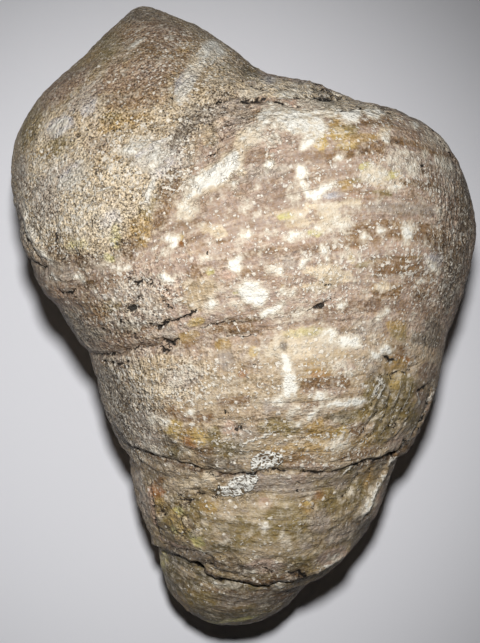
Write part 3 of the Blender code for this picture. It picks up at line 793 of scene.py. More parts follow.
# Growth bands, long stains and painted shade along the creases: points, half width in pixels, colour, strength.
BANDS = (
    # Painted shade along crease A.
    (((172, 554), (190, 562), (206, 573), (224, 580), (250, 583), (280, 581), (306, 574)), 3.6, "umber", 0.8),
    (((170, 576), (190, 590), (220, 592), (256, 594), (280, 588)), 3.0, "umber", 0.6),
    # Painted shade along crease B.
    (((132, 448), (166, 461), (204, 472), (240, 476), (270, 473)), 2.6, "umber", 0.6),
    (((296, 474), (320, 475), (342, 472), (368, 463), (396, 455), (412, 438)), 3.0, "umber", 0.8),
    (((120, 350), (140, 346), (164, 342)), 3.0, "umber", 0.5),
    (((173, 176), (169, 194), (164, 214), (156, 232)), 6.0, "brown", 1.0),
    (((180, 168), (176, 182), (170, 196)), 3.6, "umber", 0.7),
    (((150, 212), (144, 228), (138, 244)), 5.0, "ochre", 0.9),
    (((154, 178), (147, 196), (143, 206)), 3.2, "cream", 0.95),
    (((268, 84), (300, 86), (330, 94), (356, 102), (384, 104)), 3.0, "cream", 0.8),
    (((246, 78), (268, 80), (292, 82)), 2.2, "cream", 0.7),
    (((168, 590), (184, 605), (206, 614)), 3.0, "umber", 0.7),
    (((196, 598), (220, 603), (252, 602)), 2.2, "ash", 0.8),
    (((322, 162), (346, 153), (366, 149), (388, 149)), 5.5, "brown", 0.9),
    (((330, 158), (350, 152), (372, 150)), 2.2, "brown", 0.6),
    (((376, 140), (400, 142), (420, 148), (440, 155), (456, 166)), 5.0, "brown", 1.1),
    (((386, 152), (404, 149), (424, 154), (442, 164)), 3.0, "mauve", 0.7),
    (((394, 130), (408, 133), (422, 138)), 4.0, "dusk", 0.6),
    (((300, 155), (314, 156), (326, 154)), 4.0, "dusk", 0.75),
    (((332, 195), (350, 194), (376, 196)), 5.0, "brown", 0.8),
    (((372, 196), (382, 194), (392, 191)), 4.0, "olive", 0.85),
    (((340, 184), (352, 181), (372, 179)), 2.6, "olive", 0.5),
    (((398, 183), (414, 183), (430, 187)), 4.4, "umber", 0.95),
    (((420, 188), (432, 186), (444, 190)), 5.0, "umber", 0.85),
    (((300, 204), (324, 207), (344, 203), (364, 202)), 3.0, "cream", 0.7),
    (((366, 208), (390, 207), (414, 211), (440, 210)), 4.0, "ash", 0.75),
    (((384, 204), (404, 205), (428, 207)), 0.9, "umber", 0.7),
    (((390, 213), (412, 214), (436, 217)), 0.9, "umber", 0.6),
    (((316, 226), (334, 223), (352, 221)), 4.5, "cream", 0.85),
    (((336, 236), (360, 231), (384, 230), (408, 231), (430, 235), (458, 244)), 8.5, "brown", 1.1),
    (((420, 240), (436, 240), (450, 244)), 6.0, "umber", 0.8),
    (((300, 250), (330, 246), (360, 243), (386, 242)), 4.2, "brown", 0.8),
    (((330, 250), (346, 250), (360, 248)), 2.4, "rust", 0.2),
    (((188, 278), (204, 270), (222, 263), (240, 258), (262, 252), (292, 250), (322, 247)), 4.0, "dusk", 0.85),
    (((238, 256), (258, 251), (282, 249)), 1.6, "brown", 0.7),
    (((170, 250), (190, 240), (206, 232)), 3.0, "dusk", 0.6),
    (((160, 233), (176, 226), (194, 221), (214, 224)), 4.0, "dusk", 0.6),
    (((200, 245), (216, 242), (236, 240)), 1.6, "brown", 0.6),
    (((350, 268), (374, 262), (400, 258), (428, 260)), 3.0, "olive", 0.5),
    (((370, 272), (392, 266), (416, 268), (438, 276)), 9.0, "brown", 0.9),
    (((400, 282), (424, 286), (448, 292)), 5.0, "dusk", 0.6),
    (((256, 331), (238, 326), (220, 328), (204, 333)), 5.0, "brown", 0.8),
    (((220, 322), (244, 320), (266, 318)), 2.6, "umber", 0.65),
    (((226, 334), (246, 333), (264, 329)), 1.4, "umber", 0.6),
    (((204, 338), (224, 340), (250, 337), (270, 333)), 1.0, "umber", 0.5),
    (((276, 318), (310, 313), (342, 308), (380, 306), (414, 309)), 6.0, "dusk", 0.7),
    (((300, 319), (334, 314), (374, 311), (412, 314), (448, 326)), 0.8, "dusk", 0.7),
    (((306, 325), (338, 320), (376, 318), (420, 321)), 0.8, "dusk", 0.6),
    (((340, 305), (368, 302), (400, 301), (440, 306)), 0.8, "dusk", 0.6),
    (((300, 330), (332, 327), (360, 327)), 0.8, "dusk", 0.5),
    (((372, 296), (386, 290), (402, 292)), 7.5, "brown", 0.95),
    (((386, 328), (396, 326), (406, 330)), 6.0, "ochre", 0.6),
    (((410, 336), (426, 340), (440, 346)), 6.0, "slate", 0.5),
    (((298, 374), (318, 371), (338, 373)), 4.0, "ochre", 0.45),
    (((299, 386), (316, 386), (334, 383), (352, 380)), 6.5, "brown", 0.85),
    (((304, 380), (322, 379), (346, 377)), 1.4, "umber", 0.5),
    (((300, 364), (324, 362), (346, 363)), 1.0, "ochre", 0.5),
    (((168, 406), (180, 415), (196, 419), (216, 418)), 4.5, "brown", 0.85),
    (((214, 402), (232, 402), (252, 399)), 4.0, "brown", 0.6),
    (((262, 408), (276, 405), (292, 406)), 6.0, "ash", 0.7),
    (((300, 410), (312, 408), (322, 404)), 5.0, "brown", 0.7),
    (((110, 404), (136, 408), (168, 408)), 2.0, "slate", 0.7),
    (((104, 346), (130, 344), (160, 338)), 5.0, "dusk", 0.6),
    (((96, 334), (120, 332), (146, 328)), 2.0, "umber", 0.5),
    (((240, 158), (252, 160), (268, 156)), 4.0, "dusk", 0.7),
    (((262, 214), (288, 213), (312, 209)), 3.0, "cream", 0.5),
    (((438, 124), (448, 134), (457, 150)), 2.2, "cream", 0.7),
    (((228, 480), (256, 480), (284, 479), (314, 478), (344, 474)), 3.6, "ash", 0.85),
    (((286, 480), (300, 480), (312, 478)), 4.0, "mauve", 0.5),
    (((162, 543), (180, 550), (198, 556), (216, 564), (232, 572)), 4.2, "slate", 0.7),
    (((176, 547), (190, 551), (204, 555)), 1.2, "ash", 0.7),
    (((158, 536), (172, 544), (186, 549)), 1.2, "pink", 0.5),
    (((160, 552), (176, 560), (194, 568), (206, 580), (230, 586), (262, 591)), 4.0, "moss", 0.75),
    (((180, 604), (198, 613), (222, 617), (250, 613), (276, 606)), 4.0, "moss", 0.75),
    (((190, 619), (214, 622), (240, 620), (262, 615)), 1.4, "lemon", 0.6),
    (((178, 596), (200, 601), (226, 600), (254, 596)), 1.4, "ash", 0.5),
    (((216, 604), (240, 603), (262, 600)), 3.2, "ash", 0.55),
    (((196, 590), (220, 594), (248, 594)), 1.0, "olive", 0.5),
    (((136, 468), (140, 484), (144, 500), (150, 520)), 4.5, "ash", 0.8),
    (((148, 484), (150, 500), (153, 516), (157, 530)), 1.6, "pink", 0.6),
)
# Stains: x, y, half sizes, turn, colour, strength.
STAINS = (
    # the matrix
    (64, 172, 36, 60, 10, "cream", 0.6), (160, 60, 50, 34, 15, "brown", 0.35),
    (128, 96, 34, 22, 30, "brown", 0.35), (112, 168, 26, 20, 20, "ochre", 0.3),
    (148, 20, 46, 14, -20, "slate", 0.4), (100, 52, 36, 11, 40, "olive", 0.95),
    (90, 56, 16, 6, 35, "ochre", 0.35), (140, 32, 30, 12, 10, "brown", 0.5),
    (186, 46, 10, 6, 20, "ochre", 0.5), (166, 36, 30, 14, -10, "dusk", 0.5),
    (52, 88, 26, 14, 50, "dusk", 0.5), (30, 126, 10, 34, -15, "olive", 0.5),
    (70, 84, 40, 9, 40, "dusk", 0.5), (84, 98, 26, 10, 45, "ash", 0.7),
    (60, 128, 16, 10, 30, "ash", 0.7), (88, 108, 14, 8, 40, "blue", 0.35),
    (56, 146, 24, 10, 35, "olive", 0.55), (44, 154, 10, 8, 0, "ochre", 0.3),
    (120, 120, 34, 14, 10, "ochre", 0.45), (112, 116, 14, 7, 10, "olive", 0.4),
    (110, 84, 24, 9, 20, "dusk", 0.4), (150, 96, 26, 14, 20, "brown", 0.4),
    (140, 72, 38, 16, 10, "dusk", 0.5), (206, 100, 26, 14, 20, "sand", 0.4),
    (222, 76, 24, 20, -30, "sand", 0.55), (212, 52, 14, 12, 0, "cream", 0.85), (208, 50, 7, 8, 0, "blue", 0.7),
    (226, 66, 8, 5, 0, "olive", 0.35), (196, 62, 8, 12, -30, "cream", 0.6),
    (184, 84, 10, 18, -25, "blue", 0.85), (156, 153, 24, 12, 25, "blue", 0.8), (136, 150, 16, 6, 15, "blue", 0.6),
    (128, 150, 14, 5, 12, "cream", 0.5), (176, 158, 12, 18, 20, "ash", 0.6),
    (22, 176, 8, 26, 0, "ash", 0.5), (56, 184, 34, 18, 35, "ash", 0.7),
    (72, 178, 18, 10, 35, "blue", 0.65), (60, 126, 15, 9, 35, "blue", 0.6), (100, 182, 34, 18, 10, "sand", 0.5),
    (120, 176, 26, 16, 0, "cream", 0.4), (76, 193, 5, 4, 0, "olive", 0.6),
    (70, 212, 50, 26, 0, "cream", 0.55), (100, 228, 34, 20, 10, "cream", 0.55),
    (112, 220, 12, 12, 0, "blue", 0.35), (116, 238, 6, 16, 0, "lemon", 0.45),
    (109, 258, 7, 6, 0, "lemon", 0.7), (76, 244, 14, 8, 0, "lemon", 0.3),
    (163, 202, 10, 28, -14, "brown", 0.85), (146, 210, 9, 26, -20, "olive", 0.5),
    (138, 232, 14, 18, -25, "ochre", 0.8), (128, 246, 12, 14, -30, "umber", 0.5),
    (168, 184, 10, 16, -20, "umber", 0.4), (150, 188, 5, 20, -22, "cream", 0.95),
    (22, 222, 7, 30, 10, "ash", 0.8), (36, 240, 10, 18, 25, "cream", 0.7),
    (30, 232, 5, 12, 20, "white", 0.4), (46, 206, 18, 20, 0, "ash", 0.5),
    (84, 262, 26, 8, -6, "umber", 0.75), (60, 274, 16, 12, 0, "ash", 0.5),
    (52, 250, 18, 5, 0, "umber", 0.5),
    # rim and its edge
    (300, 118, 26, 12, -4, "cream", 0.7), (246, 138, 16, 12, 20, "cream", 0.6),
    (216, 174, 34, 14, 42, "cream", 0.5), (188, 208, 14, 14, 40, "cream", 0.75),
    (256, 155, 16, 6, -8, "dusk", 0.6), (258, 114, 8, 7, 0, "brown", 0.6),
    (240, 116, 12, 9, 0, "ash", 0.6), (312, 156, 16, 6, 0, "dusk", 0.7),
    (250, 200, 60, 30, 0, "dusk", 0.36), (209, 137, 10, 11, 0, "sand", 0.9),
    (224, 108, 34, 10, 15, "ash", 0.6), (196, 118, 16, 22, -45, "slate", 0.5),
    (330, 100, 90, 11, -14, "cream", 0.6), (268, 90, 34, 9, 0, "cream", 0.55),
    (326, 97, 12, 3, -8, "slate", 0.5), (285, 94, 9, 5, 0, "lemon", 0.35),
    (290, 88, 20, 4, -4, "cream", 0.6), (269, 80, 6, 5, 0, "blue", 0.8),
    (250, 72, 12, 7, -30, "moss", 0.5), (254, 84, 9, 3, 0, "slate", 0.4),
    (300, 104, 34, 5, -8, "pink", 0.5), (286, 142, 16, 10, 0, "mauve", 0.6),
    (222, 172, 30, 12, 42, "cream", 0.6), (270, 144, 12, 8, 0, "pink", 0.5),
    (262, 172, 30, 9, 10, "ash", 0.4), (232, 200, 44, 12, 8, "mauve", 0.5),
    (384, 106, 30, 4, -12, "ash", 0.6), (410, 116, 24, 4, -28, "ash", 0.6),
    (174, 146, 12, 44, -42, "ash", 0.6), (184, 132, 10, 30, -42, "slate", 0.55),
    (162, 164, 10, 20, -30, "blue", 0.4), (240, 172, 7, 6, 0, "cream", 0.7),
    # the upper right
    (321, 142, 8, 10, 0, "gold", 0.8), (318, 134, 7, 5, 0, "lemon", 0.5),
    (338, 126, 10, 14, 0, "ochre", 0.5), (350, 130, 14, 8, 0, "olive", 0.45),
    (376, 120, 22, 9, -10, "brown", 0.75), (384, 132, 8, 6, 0, "cream", 0.5),
    (346, 146, 14, 4, 8, "gold", 0.6), (340, 134, 14, 8, 0, "gold", 0.4),
    (364, 138, 16, 6, 0, "ochre", 0.5), (330, 112, 8, 10, 0, "olive", 0.5),
    (345, 184, 9, 5, 10, "ochre", 0.9), (366, 167, 8, 6, 0, "lemon", 0.75),
    (391, 175, 11, 6, 10, "lemon", 0.55), (374, 176, 14, 9, 0, "cream", 0.75),
    (408, 164, 26, 11, -5, "ash", 0.75), (386, 160, 14, 5, 0, "mauve", 0.5),
    (430, 142, 14, 8, -35, "ash", 0.5), (440, 168, 14, 9, -30, "ash", 0.5),
    (426, 170, 8, 8, 0, "umber", 0.5), (436, 176, 12, 8, -20, "dusk", 0.6),
    (330, 196, 16, 4, 5, "blue", 0.5), (364, 196, 22, 4, 0, "pink", 0.4),
    (400, 208, 40, 7, 0, "ash", 0.5), (330, 214, 18, 7, 0, "cream", 0.6),
    (344, 226, 10, 4, 12, "white", 0.4), (286, 217, 12, 4, 5, "lemon", 0.75),
    (314, 233, 9, 4, 5, "lemon", 0.75), (300, 222, 20, 8, 0, "cream", 0.4),
    (456, 232, 14, 50, 0, "dusk", 0.5), (450, 172, 12, 16, -30, "ash", 0.6),
    (466, 200, 7, 60, 0, "slate", 0.5), (452, 262, 14, 24, 0, "slate", 0.5),
    (434, 262, 10, 10, 0, "blue", 0.4), (440, 246, 14, 9, 0, "umber", 0.5),
    # the middle
    (218, 231, 10, 6, -12, "cream", 0.95), (205, 228, 7, 5, 0, "sand", 0.5),
    (182, 243, 4, 4, 0, "rust", 0.55), (181, 237, 3, 3, 0, "gold", 0.8),
    (210, 272, 5, 4, 0, "lemon", 0.9), (236, 293, 4.5, 3, 0, "lemon", 0.9),
    (229, 274, 11, 6, 0, "pink", 0.7), (283, 286, 2.5, 4, 0, "ochre", 0.9),
    (292, 266, 10, 12, 20, "mauve", 0.85), (290, 262, 7, 8, 20, "ash", 0.6),
    (351, 259, 4, 5, 0, "gold", 0.95), (326, 272, 20, 10, 0, "cream", 0.8),
    (344, 276, 10, 8, 0, "cream", 0.6), (376, 250, 11, 9, 0, "mauve", 0.8),
    (394, 246, 8, 5, 0, "pink", 0.4), (200, 292, 22, 20, 15, "sand", 0.6),
    (196, 272, 14, 10, 0, "brown", 0.4), (246, 274, 14, 6, 10, "brown", 0.4),
    (264, 272, 10, 8, 0, "dusk", 0.5), (320, 286, 24, 7, 5, "sand", 0.5),
    (384, 286, 9, 5, 0, "cream", 0.6), (420, 296, 10, 6, 0, "umber", 0.5),
    (430, 310, 20, 10, 0, "dusk", 0.5), (448, 292, 10, 24, 0, "slate", 0.45),
    (196, 322, 11, 5, 12, "gold", 0.7), (186, 344, 14, 5, 15, "brown", 0.9),
    (188, 336, 14, 6, 10, "ochre", 0.6), (169, 334, 8, 7, 0, "ash", 0.8),
    (222, 344, 10, 7, 0, "ochre", 0.55), (226, 362, 11, 12, 0, "ash", 0.7),
    (254, 351, 6, 6, 0, "gold", 0.7), (242, 374, 5, 4, 0, "rust", 0.5),
    (254, 366, 5, 2.5, 0, "umber", 0.9), (250, 368, 14, 7, 0, "brown", 0.3),
    (300, 344, 44, 16, 5, "cream", 0.6), (334, 358, 26, 10, 5, "sand", 0.6),
    (283, 346, 5, 5, 0, "slate", 0.8), (310, 332, 26, 5, 5, "lemon", 0.35),
    (356, 334, 12, 12, 0, "ash", 0.6), (374, 324, 12, 8, 0, "ash", 0.5),
    (400, 334, 12, 10, 0, "olive", 0.4), (434, 330, 12, 20, 0, "slate", 0.4),
    (346, 366, 14, 8, 0, "pink", 0.4), (372, 370, 9, 16, 0, "ash", 0.6),
    (318, 374, 12, 4, 0, "rust", 0.25), (326, 392, 30, 5, 0, "mauve", 0.5),
    # left side of the coral
    (100, 310, 12, 14, 0, "brown", 0.6), (82, 306, 9, 14, 10, "umber", 0.35),
    (112, 306, 12, 8, 0, "olive", 0.4), (130, 288, 24, 12, 20, "ash", 0.6),
    (152, 308, 12, 18, 20, "ash", 0.7), (130, 325, 24, 5, 5, "slate", 0.5),
    (96, 334, 18, 7, 10, "slate", 0.5), (122, 341, 26, 5, 12, "dusk", 0.6),
    (66, 294, 20, 14, 0, "dusk", 0.5), (92, 284, 9, 7, 0, "umber", 0.5),
    (74, 326, 14, 20, 25, "slate", 0.5), (110, 378, 14, 22, 0, "slate", 0.6),
    (122, 398, 18, 10, 0, "slate", 0.5), (148, 376, 22, 12, 0, "sand", 0.5),
    (160, 390, 22, 8, 0, "cream", 0.35), (185, 378, 22, 12, 0, "ash", 0.5),
    (126, 424, 22, 24, 20, "slate", 0.45), (146, 420, 18, 10, 0, "ash", 0.6),
    (148, 438, 18, 12, 0, "ash", 0.5), (215, 384, 16, 12, 0, "sand", 0.5),
    (160, 360, 30, 8, 5, "sand", 0.4),
    # above the first crease
    (174, 430, 10, 10, -10, "gold", 0.85), (188, 434, 10, 8, 0, "ochre", 0.9),
    (191, 442, 9, 6, -20, "rust", 0.5), (200, 436, 8, 12, 20, "gold", 0.5),
    (214, 436, 7, 12, 0, "olive", 0.8), (224, 450, 14, 9, 0, "olive", 0.65),
    (168, 442, 9, 10, 0, "slate", 0.5), (206, 452, 12, 6, 0, "umber", 0.5),
    (176, 452, 14, 8, 0, "moss", 0.5), (236, 450, 16, 10, 0, "moss", 0.4),
    (224, 464, 26, 6, -8, "slate", 0.6), (250, 434, 20, 10, 0, "ash", 0.4),
    (230, 428, 10, 8, 0, "pink", 0.4), (284, 428, 26, 12, 0, "olive", 0.55),
    (300, 450, 40, 10, 0, "ochre", 0.4), (318, 432, 20, 12, 0, "ochre", 0.6),
    (342, 434, 8, 7, 0, "gold", 0.9), (336, 446, 16, 5, 0, "cream", 0.6),
    (352, 416, 22, 8, 10, "olive", 0.75), (340, 418, 14, 6, 0, "moss", 0.5),
    (290, 458, 40, 8, 0, "brown", 0.4), (368, 440, 18, 10, 20, "ochre", 0.5),
    (358, 430, 10, 8, 20, "brown", 0.5), (384, 432, 16, 14, 30, "olive", 0.7),
    (360, 454, 26, 5, 15, "brown", 0.6), (310, 466, 30, 4, 0, "dusk", 0.6),
    (400, 350, 12, 6, 0, "brown", 0.7), (400, 362, 15, 8, 10, "rust", 0.5),
    (394, 394, 26, 38, 14, "olive", 0.5), (400, 376, 12, 8, 0, "gold", 0.4),
    (396, 366, 14, 8, 10, "ochre", 0.8), (396, 384, 7, 9, 0, "gold", 0.75),
    (408, 388, 9, 14, 10, "olive", 0.8), (382, 392, 6, 20, 20, "moss", 0.75),
    (376, 412, 14, 12, 30, "olive", 0.8), (398, 404, 12, 18, 20, "olive", 0.8),
    (398, 426, 7, 4, 10, "cream", 0.75), (372, 398, 8, 18, 20, "olive", 0.6),
    (428, 372, 10, 12, 0, "dusk", 0.5), (422, 400, 7, 14, 20, "dusk", 0.5),
    (412, 416, 8, 14, 25, "olive", 0.6), (396, 442, 14, 7, 35, "mauve", 0.4),
    # the second stage
    (159, 490, 9, 10, 0, "rust", 0.75), (160, 482, 9, 6, 0, "brown", 0.6),
    (190, 520, 40, 26, -20, "olive", 0.35), (330, 500, 40, 26, 20, "olive", 0.35),
    (166, 506, 12, 12, -30, "ochre", 0.85), (176, 522, 20, 12, -50, "olive", 0.9),
    (196, 540, 14, 6, -40, "lemon", 0.5), (172, 516, 8, 8, 0, "gold", 0.6),
    (170, 502, 6, 10, -30, "moss", 0.5), (184, 528, 9, 8, -40, "gold", 0.55),
    (168, 499, 5, 4, 0, "cream", 0.8), (178, 511, 5, 4, -30, "lemon", 0.8),
    (187, 523, 6, 4, -40, "cream", 0.8), (197, 533, 5, 4, 0, "cream", 0.7),
    (166, 487, 4, 4, 0, "cream", 0.6), (184, 504, 4, 3, 0, "cream", 0.6),
    (174, 530, 5, 3, -40, "lemon", 0.6), (160, 504, 3, 5, 0, "gold", 0.7),
    (204, 522, 6, 4, 0, "cream", 0.5), (230, 536, 8, 5, 0, "ash", 0.5),
    (250, 520, 8, 6, 0, "sand", 0.5), (322, 512, 8, 5, 20, "ash", 0.5),
    (346, 512, 9, 5, 30, "sand", 0.5), (306, 546, 8, 5, 10, "ash", 0.5),
    (180, 486, 16, 10, 0, "sand", 0.7), (194, 484, 12, 9, 0, "cream", 0.55),
    (208, 478, 9, 7, 0, "cream", 0.6), (212, 506, 12, 8, 0, "ochre", 0.85),
    (214, 506, 6, 4, 0, "gold", 0.7), (226, 512, 12, 10, 0, "sand", 0.5),
    (270, 486, 50, 7, 0, "ash", 0.55), (296, 492, 26, 7, 0, "ash", 0.4),
    (282, 524, 20, 14, 0, "olive", 0.85), (280, 512, 14, 6, 0, "moss", 0.6),
    (265, 503, 8, 8, 20, "pink", 0.6), (285, 504, 8, 5, 0, "cream", 0.4),
    (256, 512, 10, 6, 0, "cream", 0.3), (300, 516, 60, 26, 0, "olive", 0.3), (308, 505, 10, 7, 0, "ochre", 0.8),
    (308, 503, 4, 3, 0, "gold", 0.6), (322, 496, 9, 5, 0, "rust", 0.4),
    (300, 530, 12, 14, 0, "olive", 0.5), (366, 482, 8, 20, -20, "ochre", 0.75),
    (356, 492, 12, 14, -20, "olive", 0.8), (336, 498, 18, 12, 20, "olive", 0.65),
    (320, 522, 14, 12, 30, "ash", 0.5), (340, 534, 24, 9, 30, "ash", 0.5),
    (350, 470, 12, 5, 0, "moss", 0.5), (340, 484, 12, 6, 0, "ash", 0.5),
    (382, 494, 6, 28, -28, "pink", 0.4), (388, 486, 6, 18, -25, "slate", 0.5),
    (364, 524, 12, 14, 30, "slate", 0.6), (242, 528, 24, 12, 0, "olive", 0.4),
    (244, 544, 24, 10, 0, "olive", 0.5), (264, 566, 20, 9, 0, "mauve", 0.7),
    (236, 568, 20, 7, -14, "slate", 0.5), (302, 562, 16, 9, 0, "olive", 0.6),
    (330, 556, 20, 8, 20, "mauve", 0.7), (286, 578, 16, 5, 0, "umber", 0.5),
    (262, 552, 24, 8, 0, "sand", 0.4), (220, 546, 16, 8, 0, "moss", 0.4),
    # the tip
    (168, 578, 12, 18, 0, "moss", 0.85), (188, 586, 16, 10, 0, "moss", 0.5),
    (200, 600, 26, 12, 0, "olive", 0.5), (236, 598, 26, 8, 0, "slate", 0.5),
    (270, 600, 20, 8, 10, "slate", 0.5), (184, 606, 14, 6, -40, "ochre", 0.35),
    (286, 594, 16, 6, 25, "umber", 0.5), (162, 560, 5, 14, 0, "lemon", 0.3),
    (206, 604, 10, 6, 0, "olive", 0.5),
)
# How strongly the stone is speckled, and how rough: x, y, half sizes, turn,
# speckle, roughness. Elsewhere the matrix is 1 and the coral 0.55.
GRAIN = (
    (150, 60, 76, 50, 20, 0.72, 0.9), (50, 120, 34, 66, -20, 0.8, 0.9),
    (156, 153, 26, 16, 25, 0.6, 1.0), (164, 205, 12, 34, -14, 0.7, 1.0),
    (250, 205, 90, 44, 15, 0.42, 0.3), (300, 190, 60, 40, 10, 0.5, 0.4),
    (232, 196, 44, 18, 20, 0.28, 0.25), (300, 345, 60, 30, 5, 0.5, 0.4),
    (225, 362, 11, 13, 0, 0.3, 0.3), (120, 310, 60, 44, 20, 1.15, 1.1),
    (150, 380, 60, 34, 0, 1.2, 1.0), (130, 420, 40, 36, 20, 1.2, 1.1),
    (452, 230, 24, 100, 0, 0.95, 1.1), (400, 160, 56, 40, 0, 0.65, 0.8),
    (380, 250, 66, 56, 0, 0.5, 0.55), (400, 320, 40, 40, 0, 0.6, 0.7),
    (320, 92, 80, 18, -14, 1.05, 1.4), (220, 110, 50, 30, 20, 1.2, 1.0),
    (260, 440, 90, 34, 0, 0.7, 0.8), (398, 396, 30, 44, 12, 0.42, 0.5),
    (250, 530, 110, 56, 0, 0.4, 0.7), (172, 510, 26, 40, 0, 0.5, 1.0),
    (230, 600, 70, 26, 0, 0.36, 0.4), (144, 500, 14, 54, 10, 0.6, 0.8),
    (376, 510, 20, 50, -30, 0.45, 0.5), (209, 137, 12, 12, 0, 0.2, 0.3),
    (266, 540, 40, 24, 0, 0.36, 0.6), (262, 570, 60, 12, 0, 0.6, 0.9),
)
# Where small white specks crowd: x, y, half sizes, turn, density.
SPECKS = (
    (330, 180, 60, 24, 0, 0.55), (400, 172, 50, 20, -5, 0.75),
    (380, 230, 60, 14, 0, 0.5), (340, 270, 90, 30, 5, 0.65),
    (260, 240, 70, 18, 8, 0.4), (420, 275, 40, 40, 0, 0.7),
    (300, 300, 80, 18, 8, 0.5), (200, 250, 60, 18, 20, 0.45),
    (280, 380, 80, 34, 0, 0.4), (190, 385, 50, 26, 0, 0.7),
    (130, 400, 40, 44, 20, 0.8), (140, 300, 50, 40, 0, 0.6),
    (452, 230, 22, 90, 0, 0.7), (290, 130, 60, 20, 0, 0.6),
    (370, 118, 40, 12, -8, 0.8), (350, 350, 60, 30, 0, 0.45),
    (260, 440, 70, 20, 0, 0.55), (330, 455, 50, 14, 10, 0.5),
    (250, 560, 80, 30, 0, 0.16), (50, 200, 50, 60, 0, 0.9),
    (190, 60, 60, 40, 0, 0.6), (150, 160, 60, 40, 0, 0.9),
    (310, 92, 80, 16, -12, 0.8), (240, 588, 60, 6, 0, 0.3),
    (146, 446, 20, 16, 0, 0.9), (340, 440, 30, 14, 0, 0.7),
    (200, 500, 40, 24, 0, 0.22), (380, 400, 30, 40, 0, 0.35),
)
# Fine ridges running with the growth: x, y, half sizes, turn, strength.
STRIAE = (
    (170, 378, 74, 30, 6, 1.0), (196, 290, 30, 30, 0, 0.9),
    (250, 375, 30, 24, 0, 0.5), (146, 302, 34, 30, 0, 1.0),
    (290, 345, 50, 14, 0, 0.3), (124, 404, 36, 44, 20, 1.0),
    (150, 436, 34, 20, 0, 0.9), (204, 330, 30, 16, 0, 0.4),
    (142, 494, 12, 52, 10, 0.8), (456, 220, 16, 96, 0, 1.0),
    (440, 330, 18, 50, 0, 0.5), (90, 320, 40, 30, 0, 0.6),
    (444, 176, 16, 24, 0, 0.7),
)

CYL = np.stack([np.cos(PHI), np.sin(PHI), U], -1)  # round the horn, up the horn
LUMP = smooth(GAP, -1.5, 2.5)  # 1 on the matrix, 0 on the coral
CORAL = 1 - LUMP
SIZE = np.clip(U / 7, 0.35, 1)
SEEN = smooth(UPWARD, -0.02, 0.22)  # how far the upper features reach down
SHOWN = smooth(UPWARD, 0.02, 0.12)  # the same for the colours
WOBBLE = 0.5 * octaves(SURFACE, 2.6, 201, 2) + 0.5 * octaves(SURFACE, 1.1, 207, 2)
TX, TY = PX[TOP, 0], PX[TOP, 1]


def growth_noise(round_scale, up_scale, seed):
    """Noise drawn out along the growth rings or along the growth."""
    return lattice_noise(CYL * np.array([round_scale, round_scale, up_scale]), seed)


def oval(x, y, rx, ry, turn=0.0, reach=1.7):
    """(vertices near an oval in pixels, their distance as a share of its radius)."""
    wide = reach * max(rx, ry)
    near = np.flatnonzero((np.abs(TX - x) < wide) & (np.abs(TY - y) < wide))
    dx, dy = TX[near] - x, -(TY[near] - y)
    c, s = math.cos(math.radians(turn)), math.sin(math.radians(turn))
    r = np.hypot((dx * c + dy * s) / rx, (-dx * s + dy * c) / ry)
    return TOP[near], r


def stroke(points, wide):
    """(vertices near a curve in pixels, their distance from it in pixels, place)."""
    line = along_curve(points, 2.0)
    low, high = line.min(0) - wide, line.max(0) + wide
    near = np.flatnonzero(
        (TX > low[0]) & (TX < high[0]) & (TY > low[1]) & (TY < high[1])
    )
    x, y = TX[near], TY[near]
    best = np.full(len(near), 1e9)
    place = np.zeros(len(near))
    for k, (a, b) in enumerate(zip(line, line[1:])):
        d = b - a
        t = np.clip(((x - a[0]) * d[0] + (y - a[1]) * d[1]) / max(d @ d, 1e-9), 0, 1)
        far = np.hypot(x - a[0] - t * d[0], y - a[1] - t * d[1])
        closer = far < best
        best[closer] = far[closer]
        place[closer] = (k + t[closer]) / (len(line) - 1)
    return TOP[near], best, place


def raise_to(field, where, values):
    field[where] = np.maximum(field[where], values)


def regional(rows, base, *columns):
    """Fields that start at `base` and are pulled towards each oval's values."""
    fields = [np.array(b, float) * np.ones(len(U)) for b in base]
    for x, y, rx, ry, turn, *values in rows:
        where, r = oval(x, y, rx, ry, turn)
        share = smooth(1.25 - r + 0.3 * WOBBLE[where], 0, 0.6) * SEEN[where]
        for field, value in zip(fields, values):
            field[where] += share * (value - field[where])
    return fields


SPECKLE, ROUGH = regional(GRAIN, (0.5 + 0.4 * LUMP + 0.1 * SEEN, 0.7 + 0.3 * LUMP))
CROWD = 0.08 + 0.1 * smooth(U, 11, 12)
for x, y, rx, ry, turn, density in SPECKS:
    where, r = oval(x, y, rx, ry, turn)
    raise_to(CROWD, where, density * smooth(1.4 - r, 0, 0.9) * SEEN[where])
CROWD = np.maximum(CROWD, 0.3 * (1 - SEEN))
RIDGED = np.zeros(len(U))
for x, y, rx, ry, turn, strength in STRIAE:
    where, r = oval(x, y, rx, ry, turn)
    raise_to(RIDGED, where, strength * smooth(1.3 - r, 0, 0.7) * SEEN[where])
RIDGED = np.maximum(RIDGED, (1 - SEEN) * CORAL * smooth(growth_noise(0.8, 0.5, 77), -0.1, 0.3) * 0.7)


